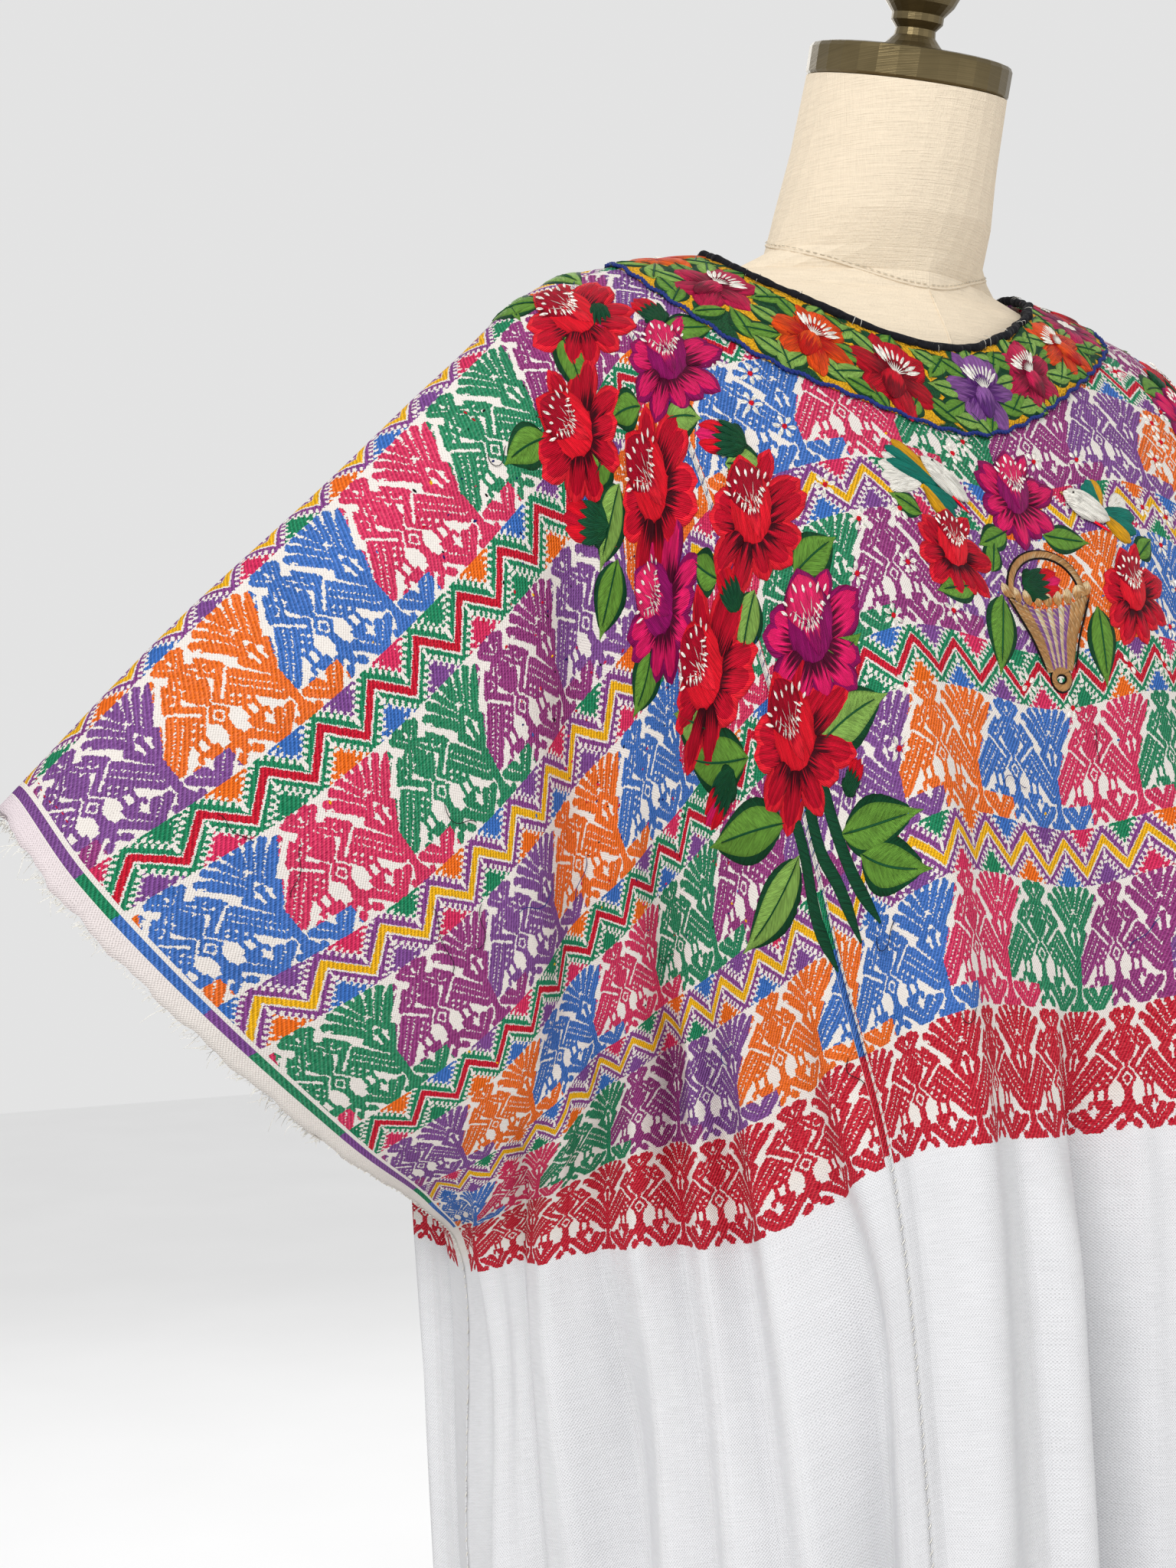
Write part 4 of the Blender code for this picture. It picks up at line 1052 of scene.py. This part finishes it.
def spray(name, side, face, wander):
    """The spray at one shoulder: side is the wearer's left or right, face the front or the back."""
    work = Stitching()

    def at(u, w):
        u, w = u / 1000, w / 1000
        shift = 0.0025 * math.sin(wander + u * 140.0 + w * 90.0)
        return side * (u + shift), face * (w + 0.8 * shift)

    for stem in SPRAY_STEMS:
        stem = np.array([at(*place) for place in stem])
        along = np.linspace(0, len(stem) - 1, 14)
        path = [curve_through(range(len(stem)), stem[:, axis:axis + 1], along, False) for axis in (0, 1)]
        work.ribbon(np.stack(path, 1), 0.0090, STEM, BOTTLE)
    for number, (u0, w0, u1, w1, width) in enumerate(SPRAY_LEAVES):
        work.leaf(at(u0, w0), at(u1, w1), width / 1000 * 1.12, (LEAF, LIGHT_LEAF)[number % 3 == 1], BOTTLE,
                  bend=0.25 * math.sin(number * 1.7 + wander))
    for u0, w0, u1, w1, dyes in SPRAY_BUDS:
        bud(work, at(u0, w0), at(u1, w1), dyes)
    for u, w, size, turn, spread, dyes in SPRAY_ROSES:
        rose(work, at(u, w), size / 1000, turn * side + (0.0 if face > 0 else math.pi), dyes, spread=spread)
    florets(work, [at(*place) for place in SPRAY_FLORETS], 0.7)
    work.make(name)


def dove(work, places):
    """A small white dove: its head and rear, then foot and tip of wing, tail and lower wing."""
    head, rear = places[:2]
    wing, tail, lower = places[2:4], places[4:6], places[6:8]
    back, long = aim(head, rear)

    def fan(ends, width, dyes, turns, lift):
        """Feathers from a foot, spread about the way to a tip."""
        toward, reach = aim(*ends)
        for turn, colour in zip(turns, dyes):
            work.petal(ends[0], toward + turn, reach * (1.0 - 0.25 * abs(turn)), width, colour, colour,
                       rise=0.0015, lift=lift, fullest=0.62, tip=0.7, cells=(8, 6))

    fan(tail, 0.0100, (MILK,) * 4, (-0.42, -0.14, 0.14, 0.42), 0.0002)
    fan(lower, 0.0118, (GOLD, TEAL, TEAL), (0.44, -0.22, 0.12), 0.0006)
    work.petal(rear, back + math.pi, long * 1.06, 0.0175, MILK, MILK, rise=0.0024, lift=0.0018, fullest=0.52,
               cells=(10, 8))
    work.petal(head, back, 0.0140, 0.0128, MILK, MILK, rise=0.0026, lift=0.0022, cells=(6, 6))
    fan(wing, 0.0118, (GOLD, TEAL, TEAL), (0.34, -0.18, 0.10), 0.0008)
    work.petal(head, back + math.pi, 0.0036, 0.0018, GOLD, TAN, lift=0.0008, cells=(4, 4))
    eye = (head[0] + 0.0035 * math.cos(back), head[1] + 0.0035 * math.sin(back) - 0.0012)
    work.petal(eye, back, 0.0016, 0.0014, INK, GREY, rise=0.0008, lift=0.0046, cells=(4, 4))
    below = 0.0080 if rear[1] > head[1] else -0.0080
    belly = [(head[0] + (rear[0] - head[0]) * share, head[1] + (rear[1] - head[1]) * share + below)
             for share in np.linspace(0.25, 0.95, 8)]
    work.strand(belly, 0.0009, SCARLET, SCARLET, lift=0.0006)


def basket(work, middle, rim, foot, half, face):
    """A narrow basket with a waist, an arched handle and a foot ring."""
    # places along a stave, and shares of its length at which the rim, the waist and the foot lie
    down, waist = np.linspace(0.0, 1.0, 9), (0.0, 0.55, 1.0)
    for number in range(13):
        share = (number - 6) / 6.0
        top = rim + face * 0.004 * (1 - share * share)
        across = [middle + share * half * part for part in (1.0, 0.50, 0.30)]
        dyes = (TAN, CREAM) if abs(share) > 0.6 else (LILAC, CREAM) if number % 2 else (CREAM, MILK)
        stave = [np.interp(down, waist, line) for line in (across, (top, rim + (foot - rim) * 0.55, foot))]
        work.ribbon(np.stack(stave, 1), 0.0060 if abs(share) > 0.8 else 0.0052, *dyes, rise=0.0010,
                    ends=(1.0, 0.5))
    for width, dye_in, dye_out, lift in ((0.0068, INK, (INK, INK), 0.0), (0.0044, TAN, (CREAM, TAN), 0.0006)):
        turn = np.linspace(math.pi, 2 * math.pi, 18)
        arch = np.stack([middle + half * 0.96 * np.cos(turn), rim + face * 0.028 * np.sin(turn)], 1)
        work.ribbon(arch, width, dye_in, dye_out[0], lift=lift, ends=(1.0, 1.0))
        turn = np.linspace(0, 2 * math.pi, 16)
        ring = np.stack([middle + 0.0062 * np.cos(turn), foot + face * 0.004 + 0.0048 * np.sin(turn)], 1)
        work.ribbon(ring, width, dye_in, dye_out[1], lift=lift, ends=(1.0, 1.0))
    for share in np.linspace(-1.0, 1.0, 9):
        scallop = (middle + share * half, rim + face * 0.003 * (1 - share * share))
        work.petal(scallop, -face * math.pi / 2 + 0.5 * share, 0.0092, 0.0074, TAN, CREAM, lift=0.0007,
                   cells=(6, 4))
    for side in (-1, 1):
        wide = (half + 0.003, half * 0.50 + 0.004, half * 0.32 + 0.002)
        outline = middle + side * np.interp(down, waist, wide)
        work.strand(np.stack([outline, np.linspace(rim, foot, 9)], 1), 0.0008, INK, INK, lift=0.0006)


# The centre motif in millimetres, like the spray
MOTIF_LEAVES = (
    (-26, 240, -40, 288, 26), (48, 248, 46, 294, 26), (-10, 200, -36, 214, 18), (18, 202, 54, 212, 20),
    (-30, 228, -22, 206, 16), (-74, 206, -94, 196, 18), (92, 224, 112, 210, 18), (-46, 240, -78, 250, 20),
)
MOTIF_ROSES = ((3, 176, 56, 0.1, PINK_ROSE), (-58, 221, 50, 0.15, RED_ROSE), (80, 243, 54, -0.1, RED_ROSE))
MOTIF_DOVES = (
    ((-61, 170), (-36, 189), (-55, 184), (-88, 170), (-66, 185), (-96, 182), (-66, 186), (-46, 199)),
    ((44, 180), (74, 201), (71, 193), (63, 174), (78, 193), (96, 192), (70, 195), (99, 206)),
)
MOTIF_FLORETS = (
    (-89, 205), (-35, 158), (28, 157), (-68, 259), (67, 284), (-18, 288), (112, 190), (-24, 148),
    (64, 160), (100, 286), (-94, 236), (16, 300),
)


def centre_motif(name, face):
    """Two doves over roses and a basket, below the collar."""
    work = Stitching()

    def at(u, w):
        return u / 1000, face * w / 1000

    for u0, w0, u1, w1, width in MOTIF_LEAVES:
        work.leaf(at(u0, w0), at(u1, w1), width / 1000, LEAF, BOTTLE)
    for u, w, size, turn, dyes in MOTIF_ROSES:
        rose(work, at(u, w), size / 1000, (0.0 if face > 0 else math.pi) + turn, dyes)
    for places in MOTIF_DOVES:
        dove(work, [at(*place) for place in places])
    basket(work, 0.010, face * 0.241, face * 0.280, 0.0300, face)
    bud(work, at(-8, 232), at(24, 229), PINK_ROSE)
    florets(work, [at(*place) for place in MOTIF_FLORETS], 0.5)
    work.make(name)


spray("spray_right_front", -1, 1, 0.0)
spray("spray_left_front", 1, 1, 1.3)
spray("spray_right_back", -1, -1, 2.1)
spray("spray_left_back", 1, -1, 3.4)
centre_motif("doves_and_basket_front", 1)
centre_motif("doves_and_basket_back", -1)


# Collar, braid and binding

def collar_ground():
    """The collar's own cloth: yellow seed stitches with dark green shadows between the flowers."""
    wiring = Wiring("collar_seed_stitch", roughness=0.7, Specular_IOR_Level=0.2)
    across, along = wiring.uv("cloth")
    place = wiring.vector(across, along)
    cells = wiring.node("ShaderNodeTexVoronoi", {"feature": "F1"}, {"Vector": place, "Scale": 750.0})
    patches = wiring.noise(place, 55.0, 1.0)
    fuzz = wiring.noise(place, 1400.0)
    colour = wiring.mix(patches.spread(0.53, 0.56), dye(240, 178, 30), dye(30, 84, 52))
    colour = wiring.shade(colour, 1.10 - cells * 0.75 + fuzz * 0.2)
    return wiring.finish(colour, 1.0 - cells * 1.4, 0.0010, 1.0)


def collar():
    """The yellow ring round the neck hole, laid on the centre panel."""
    angles = np.linspace(0.0, 2 * math.pi, 240, endpoint=False)
    grows = np.linspace(0.0004, COLLAR_WIDTH, 14)
    places = np.concatenate([np.stack(neck_oval(angles, grow), 1) for grow in grows])
    piece = cloth_piece("collar_cloth", places, lattice(len(grows), len(angles), ring=True), lambda u: u,
                        collar_ground(), thick=0.0011, lift=0.0016)
    outer, inner = ((NECK_HALF + grow, (NECK_FRONT + NECK_BACK) / 2 + grow) for grow in (COLLAR_WIDTH, 0.0))
    area = math.pi * (outer[0] * outer[1] - inner[0] * inner[1])
    sheet(piece, "collar", (2 * outer[0] + 0.03, 2 * outer[1] + 0.03), "laid", "centre_panel_cloth",
          area=area * 1.08)
    ride(piece)


def on_collar(angle, grow):
    """The place at an angle round the neck hole and a distance from it."""
    return tuple(float(value) for value in neck_oval(np.array(angle), grow))


def collar_flower(work, angle, grow, size, dyes, stamens, turn):
    """A flower of six pointed petals, with a fan of white stamens or a plain eye."""
    bright, deep, eye = dyes
    body = tuple(0.75 * a + 0.15 * b for a, b in zip(bright, deep))
    at = on_collar(angle, grow)
    down = aim(at, on_collar(angle, grow + 0.01))[0]
    up = down + math.pi
    for number in range(6):
        toward = down + turn + (number + 0.5) * math.pi / 3
        for long, wide, inner, outer, more in ((0.54, 1.15, bright, bright, 0.0),
                                               (0.54 - 0.05, 0.92, deep, body, 0.0005)):
            work.petal(at, toward, size * long, size * 0.32 * wide, inner, outer, rise=0.0014,
                       lift=0.0003 + 0.0003 * (number % 2) + more, fullest=0.55, tip=1.5, cells=(9, 6))
    if not stamens:
        for number in range(4):
            work.petal(at, down + number * math.pi / 2, size * 0.12, size * 0.10, eye, eye, lift=0.0016,
                       cells=(4, 4))
        return
    work.petal(at, up, size * 0.46, size * 0.46, deep, bright, rise=0.0018, lift=0.0012, fullest=0.62,
               cells=(9, 8))
    for number in range(9):
        toward = up + (number - 4) * 0.20
        foot = away(at, toward, 0.16 * size)
        work.strand(np.linspace(at, foot, 4), 0.00028, MILK, MILK, lift=0.0026)
        work.petal(foot, toward, size * 0.20, size * 0.050, MILK, MILK, rise=0.0009, lift=0.0022,
                   cells=(4, 4))
    work.petal(away(at, down, -0.1 * size), down, size * 0.44, size * 0.30, bright, deep, rise=0.0020,
               lift=0.0018, cells=(8, 6))


# Bright and deep dye of a collar flower's petals, and its eye
COLLAR_DYES = (
    (dye(206, 30, 84), dye(128, 14, 52), MILK), (FLAME, dye(196, 30, 20), GOLD),
    (dye(206, 20, 46), WINE, MILK), (LILAC, DEEP_LILAC, MILK), (MAGENTA, MULBERRY, MILK),
    (dye(240, 104, 30), dye(206, 44, 24), MILK), (SCARLET, WINE, MILK),
)
# Dyes of the flowers in turn, from the middle of the front round over the wearer's right shoulder
COLLAR_ORDER = (3, 2, 1, 0, 5, 6, 3, 4, 1, 2, 3, 0, 5, 6, 4, 1, 0)
# Leaves round each flower: share of the way to the next one, distance from the neck and length in
# millimetres, and turn
COLLAR_LEAVES = (
    (0.40, 11, 25, 0.6), (0.45, 37, 27, -0.5), (0.60, 12, 23, -0.8), (0.60, 37, 26, 0.6), (0.14, 43, 22, 1.0),
    (0.88, 43, 22, -1.0), (0.10, 7, 18, -1.2), (0.30, 42, 22, 0.2), (0.74, 8, 20, 0.5), (0.50, 24, 24, 0.1),
)


def collar_embroidery():
    """Flowers in a ring round the collar, with leaves between and under them."""
    work = Stitching(base=0.0022)
    apart = 2 * math.pi / len(COLLAR_ORDER)
    for number, order in enumerate(COLLAR_ORDER):
        angle = math.pi / 2 + 0.05 + (number + 0.10 * math.sin(number * 2.1)) * apart
        for step, grow, length, turn in COLLAR_LEAVES:
            middle = on_collar(angle + step * apart, grow / 1000)
            toward = aim(middle, on_collar(angle + step * apart + 0.01, grow / 1000))[0] + turn
            half = 0.5 * length / 1000
            work.leaf(away(middle, toward, -half), away(middle, toward, half), 0.0165,
                      (LEAF, LIGHT_LEAF)[(number + int(step * 10)) % 2], BOTTLE, cells=(8, 6))
        grow = 0.0255 + 0.0015 * math.sin(number * 1.7)
        size = 0.050 + 0.003 * math.sin(number * 1.9)
        turn = 0.2 * math.sin(number * 3.0)
        collar_flower(work, angle, grow, size, COLLAR_DYES[order], number % 5 != 4, turn)
    work.make("collar_flowers")


def yarn_material(name, colour):
    """Plain matt yarn with fine fibres."""
    wiring = Wiring(name, roughness=0.6, Specular_IOR_Level=0.25)
    fuzz = wiring.noise(wiring.place(), 900.0, 2.0)
    return wiring.finish(wiring.shade(colour, 0.7 + fuzz * 0.6), fuzz, 0.0008, 0.9)


def tube(name, path, radii, material, sides):
    """A round cord through points in space, closed to a ring."""
    rings = rings_round(path, radii, sides, (0.0, 0.0, 1.0), closed=True)
    faces = lattice(len(path), sides, ring=True, loop=True)
    piece = new_piece(name, rings.reshape(-1, 3), faces, material)
    face_out(piece)
    return ride(piece)


def braid_and_binding():
    """The wavy braid of two twisted cords, and the velvet roll with its overcast stitches."""
    angles = np.linspace(0, 2 * math.pi, 720, endpoint=False)
    navy = yarn_material("navy_thread", dye(34, 52, 122))
    for name, phase in (("collar_braid_outer", 0.0), ("collar_braid_inner", math.pi)):
        grow = COLLAR_WIDTH + 0.0008 * np.sin(angles * 62) + 0.0006 * np.cos(angles * 200 + phase)
        height = 0.0024 + 0.0006 * np.sin(angles * 200 + phase)
        path = cloth.lay(*neck_oval(angles, grow), height)
        piece = tube(name, path, 0.0008, navy, 6)
        if phase == 0.0:
            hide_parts("collar_braid")
    velvet = Wiring("black_velvet_pile", roughness=0.95, Specular_IOR_Level=0.05, Sheen_Weight=0.06,
                    Sheen_Roughness=0.4)
    fuzz = velvet.noise(velvet.place(), 420.0, 3.0)
    pile = velvet.finish(velvet.shade((0.012, 0.012, 0.015), 0.4 + fuzz * 1.2), fuzz, 0.0014, 1.0)
    wander = 0.0006 * np.sin(angles * 17) + 0.0005 * np.sin(angles * 41 + 1.0) + 0.0003 * np.sin(angles * 97)
    path = cloth.lay(*neck_oval(angles, -0.0012 + wander), 0.0024 + wander)
    radii = 0.0024 + 0.0002 * np.sin(angles * 11 + 0.5) + 0.0001 * np.sin(angles * 29)
    piece = tube("binding_roll", path, radii, pile, 12)
    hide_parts("neck_binding")
    white = Stitching(base=0.0)
    for number in range(36):
        angle = (number + 0.6 * math.sin(number * 2.7)) * 2 * math.pi / 36
        slope = 0.010 + 0.010 * math.sin(number * 1.3)
        reach = np.linspace(0.0018 + 0.001 * math.sin(number * 3.1), -0.0040 - 0.002 * math.sin(number), 7)
        path = [on_collar(angle + slope * share, grow) for share, grow in zip(np.linspace(0, 1, 7), reach)]
        over = 0.0016 + 0.0036 * np.sin(np.linspace(0.15, 2.9, 7))
        white.strand(path, 0.00017, MILK, MILK, height=over)
    white.make("binding_stitches")


collar()
collar_embroidery()
braid_and_binding()


# Sewing, frayed edges and loose threads

def threads(name, paths, radius, material, sides=4):
    """Fine threads through points in space, as one piece."""
    points, faces = [], []
    count = 0
    for path in paths:
        thin = np.full(len(path), radius)
        thin[[0, -1]] = radius * 0.5
        points.append(rings_round(path, thin, sides, (0.31, 0.22, 0.93)).reshape(-1, 3))
        faces += lattice(len(path), sides, first=count, ring=True)
        last = count + (len(path) - 1) * sides
        faces += [tuple(range(count + sides - 1, count - 1, -1)), tuple(range(last, last + sides))]
        count += len(path) * sides
    piece = new_piece(name, np.concatenate(points), faces, material)
    face_out(piece)
    ride(piece)


def seams(thread, navy, red):
    """Joining stitches over the long seams and overcasting down the side seams."""
    reach = np.linspace(-1, 1, 5)
    for side, name in ((-1, "right"), (1, "left")):
        for part, first, last, yarn in (("brocade", 0.0, RED_BAND, navy), ("red", RED_BAND, RED_END, red),
                                        ("plain", RED_END, CLOTH_LENGTH, thread)):
            paths = []
            for number, w in enumerate(np.arange(-0.855, 0.856, 0.0062)):
                if first <= abs(w) < last:
                    along = w + 0.0012 * reach + 0.0004 * math.sin(number * 2.2)
                    height = 0.0008 + 0.0005 * (1 - reach ** 2)
                    paths.append(cloth.lay(side * (CENTRE_HALF + 0.0016 * reach), along, height))
            threads("long_seam_%s_%s" % (name, part), paths, 0.00022, yarn)
        paths = []
        for w in np.arange(ARMHOLE + 0.002, 0.857, 0.0075):
            front, edge_front, edge_back, back = (
                cloth.lay(side * u, place, height)
                for u, place, height in ((0.6225, w, 0.0011), (0.6249, w + 0.001, 0.0006),
                                         (0.6249, -w - 0.002, 0.0006), (0.6225, -w - 0.003, 0.0011)))
            paths.append([front, edge_front, (edge_front + edge_back) / 2, edge_back, back])
        threads("side_seam_" + name, paths, 0.0003, thread)


def sleeve_fray(thread):
    """Fluff and short broken threads along the selvedge of each sleeve."""
    steps = np.linspace(0, 1, 4)[:, None]
    for side, name in ((-1, "right"), (1, "left")):
        paths = []
        for number in range(620):
            w = rng.uniform(-ARMHOLE + 0.004, ARMHOLE - 0.004)
            long = rng.uniform(0.0012, 0.0042) if number % 9 else rng.uniform(0.005, 0.010)
            lean = rng.normal(0.0, 0.7)
            edge = side * (CLOTH_EDGE - rng.uniform(0.0, 0.0015))
            start = cloth.lay(edge, w, rng.uniform(-0.0004, 0.0006))
            inner = cloth.lay(side * (CLOTH_EDGE - 0.008), w, 0.0)
            outward = (start - inner) / np.linalg.norm(start - inner)
            near = side * (CLOTH_EDGE - 0.002)
            ahead, behind = (cloth.lay(near, w + step, 0.0) for step in (0.004, -0.004))
            along = (ahead - behind) / np.linalg.norm(ahead - behind)
            curl = rng.normal(0.0, 0.5, 3)
            straight = start + long * steps * (outward + lean * along * 0.6)
            paths.append(straight + long * steps ** 2 * curl * 0.5)
        threads("sleeve_fray_" + name, paths, 0.00016, thread, sides=3)


# Loose ends of thread in millimetres: place, length, and turn in radians
LOOSE_ENDS = (
    (-500, 185, 40, 0.6), (-470, 205, 30, 2.2), (-462, 150, 26, 1.0), (-420, 235, 34, 4.0),
    (-405, 262, 30, 5.2), (-555, 90, 22, 0.3), (-530, 125, 28, 3.5), (-350, 330, 26, 1.8),
    (-320, 55, 22, 2.9), (-215, 455, 24, 0.9), (-172, 402, 28, 1.4), (-120, 460, 20, 2.4),
    (-50, 350, 24, 5.0), (30, 310, 22, 0.4), (60, 420, 26, 3.8), (-300, 420, 22, 4.4),
    (200, 420, 26, 1.2), (330, 210, 30, 2.0), (460, 160, 30, 5.5), (-80, -200, 24, 1.0),
    (260, -330, 26, 2.6),
)


def loose_ends(dark, navy):
    """Dark ends of embroidery thread lying on the cloth, and small knots of coloured thread."""
    ends, hairs = [], []
    s = np.linspace(0, 1, 12)
    for u, w, long, turn in LOOSE_ENDS:
        bend = turn + 2.4 * s * math.sin(turn * 3.0) + 0.9 * np.sin(s * 5 + turn)
        step = long / 1000 / 11
        height = 0.0011 + 0.0016 * np.sin(s * math.pi) * abs(math.sin(turn))
        path = cloth.lay(u / 1000 + np.cumsum(np.cos(bend)) * step, w / 1000 + np.cumsum(np.sin(bend)) * step,
                         height)
        (ends if turn < 3.6 else hairs).append(path)
    threads("loose_dark_ends", ends, 0.00023, dark)
    threads("loose_navy_ends", hairs, 0.00023, navy)
    knots = Stitching()
    for number in range(190):
        u = -rng.uniform(0.27, 0.40) if number % 3 else rng.uniform(-0.56, 0.50)
        w = rng.uniform(0.03, 0.36)
        colour = (BLUE, CRIMSON, dye(30, 44, 110), YELLOW, INK, PINK)[number % 6]
        size = rng.uniform(0.0014, 0.0030)
        if math.hypot((u - NECK_SHIFT) / (NECK_HALF + 0.085), w / (NECK_FRONT + 0.085)) < 1.0:
            continue
        turn = rng.uniform(0, 6.28)
        knots.petal((u, w), turn, size, size * 0.7, colour, colour, rise=0.0010, cells=(3, 3))
    for number in range(16):
        place = (-0.604 + 0.001 * math.sin(number), -0.030 + number * 0.0052)
        knots.petal(place, math.pi / 2, 0.0032, 0.0009, CRIMSON, CRIMSON, rise=0.0007, cells=(4, 3))
    knots.make("thread_knots")


navy_thread = bpy.data.materials["navy_thread"]
cotton = yarn_material("sewing_cotton", dye(240, 236, 226))
seams(cotton, navy_thread, yarn_material("red_thread", CRIMSON))
sleeve_fray(cotton)
loose_ends(yarn_material("dark_thread", dye(26, 22, 26)), navy_thread)


# Dress form and stand

def linen():
    """Plain cream linen with slubs."""
    wiring = Wiring("cream_linen", roughness=0.9, Specular_IOR_Level=0.15)
    x, y, z = wiring.parts(wiring.place())
    weft = wiring.noise(wiring.vector(x * 60.0, y * 60.0, z * 1300.0), 1.0, 2.0)
    warp = wiring.noise(wiring.vector(x * 1300.0, y * 1300.0, z * 60.0), 1.0, 2.0)
    patch = wiring.noise(wiring.place(), 9.0, 2.0)
    colour = wiring.shade(dye(226, 211, 188), 0.76 + weft * 0.22 + warp * 0.16 + patch * 0.12)
    return wiring.finish(colour, weft + warp * 0.8, 0.0007, 0.8)


def bronze():
    """Aged bronze, brushed round and lacquered, darker in patches."""
    wiring = Wiring("aged_bronze_brushed", roughness=0.4, metallic=0.9)
    x, y, z = wiring.parts(wiring.place())
    brushed = wiring.noise(wiring.vector(x * 14.0, y * 14.0, z * 1600.0), 1.0, 2.0)
    patch = wiring.noise(wiring.place(), 26.0, 3.0)
    colour = wiring.mix(patch.spread(0.25, 0.75), dye(100, 89, 64), dye(118, 105, 77))
    colour = wiring.shade(colour, 0.78 + brushed * 0.44)
    return wiring.finish(colour, brushed, 0.0003, 0.5, 0.30 + patch * 0.12)


linen_material = linen()
finishes = dict.fromkeys(("neck_cap", "cap_finial", "form_bottom_plate", "form_pole", "form_base"), bronze())
finishes.update(form_torso=linen_material, binding_knot=navy_thread)
for node, finish in finishes.items():
    bpy.data.objects[node].material_slots[0].material = finish


def form_seams():
    """Welted seam round the base of the neck and down the middle of the front and back, with its stitches."""
    skin = BVHTree.FromObject(bpy.data.objects["form_torso"], bpy.context.evaluated_depsgraph_get())

    def on_form(start, towards):
        """Where a ray meets the form, with the direction off its skin."""
        hit, normal = skin.ray_cast(Vector(start), Vector(towards).normalized())[:2]
        return None if hit is None else (np.array(hit), np.array(normal))

    ring = []
    for angle in np.linspace(0, 2 * math.pi, 121):
        start = (0.6 * math.sin(angle), -0.6 * math.cos(angle), 1.334 - 0.022 * math.cos(angle))
        ring.append(on_form(start, (-start[0], -start[1] - 0.01, 0.0)))
    lines = [ring] + [[on_form((0.0, face * 0.6, z), (0.0, -face, 0.0)) for z in np.linspace(0.70, top, 70)]
                      for face, top in ((-1, 1.310), (1, 1.354))]
    lines = [[found for found in line if found] for line in lines]
    welts = [[place + normal * 0.0001 for place, normal in line] for line in lines]
    threads("form_welts", welts, 0.0008, linen_material, sides=6)
    stitches = []
    for line in lines:
        places = np.array([place + normal * 0.0006 for place, normal in line])
        reach = np.r_[0.0, np.cumsum(np.linalg.norm(np.diff(places, axis=0), axis=1))]
        beside = np.array((0.0, 0.0, 0.0016 if line is lines[0] else 0.0))
        for start in np.arange(0.002, reach[-1] - 0.004, 0.0042):
            part = np.linspace(start, start + 0.0027, 4)
            stitches.append(np.stack([np.interp(part, reach, axis) for axis in places.T], 1) + beside)
    threads("form_stitches", stitches, 0.00028, yarn_material("form_thread", dye(196, 186, 166)))


form_seams()


# Floor and light

LIGHTS = (("key", (-2.3, -1.7, 2.7), 1.4, 58.0), ("fill", (1.2, -2.6, 1.6), 2.0, 6.0),
          ("rim", (0.8, 2.4, 2.2), 1.6, 18.0))


def studio():
    """Pale floor and room, and three soft lights turned to the cloth."""
    bpy.ops.mesh.primitive_plane_add(size=12.0, location=(0.0, 0.0, 0.0))
    floor = bpy.context.object
    floor.name = "floor"
    wiring = Wiring("pale_floor", roughness=0.9)
    speck = wiring.noise(wiring.place(), 3.0)
    floor.data.materials.append(wiring.finish(wiring.shade((0.9, 0.9, 0.9), 0.97 + speck * 0.06)))
    bpy.context.scene.view_settings.view_transform = "Standard"
    world = bpy.data.worlds.new("soft_room")
    bpy.context.scene.world = world
    world.use_nodes = True
    sky = world.node_tree.nodes["Background"].inputs
    sky[0].default_value = (1.0, 1.0, 1.0, 1.0)
    sky[1].default_value = 0.77
    for name, place, size, power in LIGHTS:
        data = bpy.data.lights.new(name, "AREA")
        data.size = size
        data.energy = power
        lamp = bpy.data.objects.new(name, data)
        lamp.location = place
        lamp.rotation_euler = (Vector((0.0, 0.0, 1.0)) - Vector(place)).to_track_quat("-Z", "Y").to_euler()
        bpy.context.collection.objects.link(lamp)


studio()
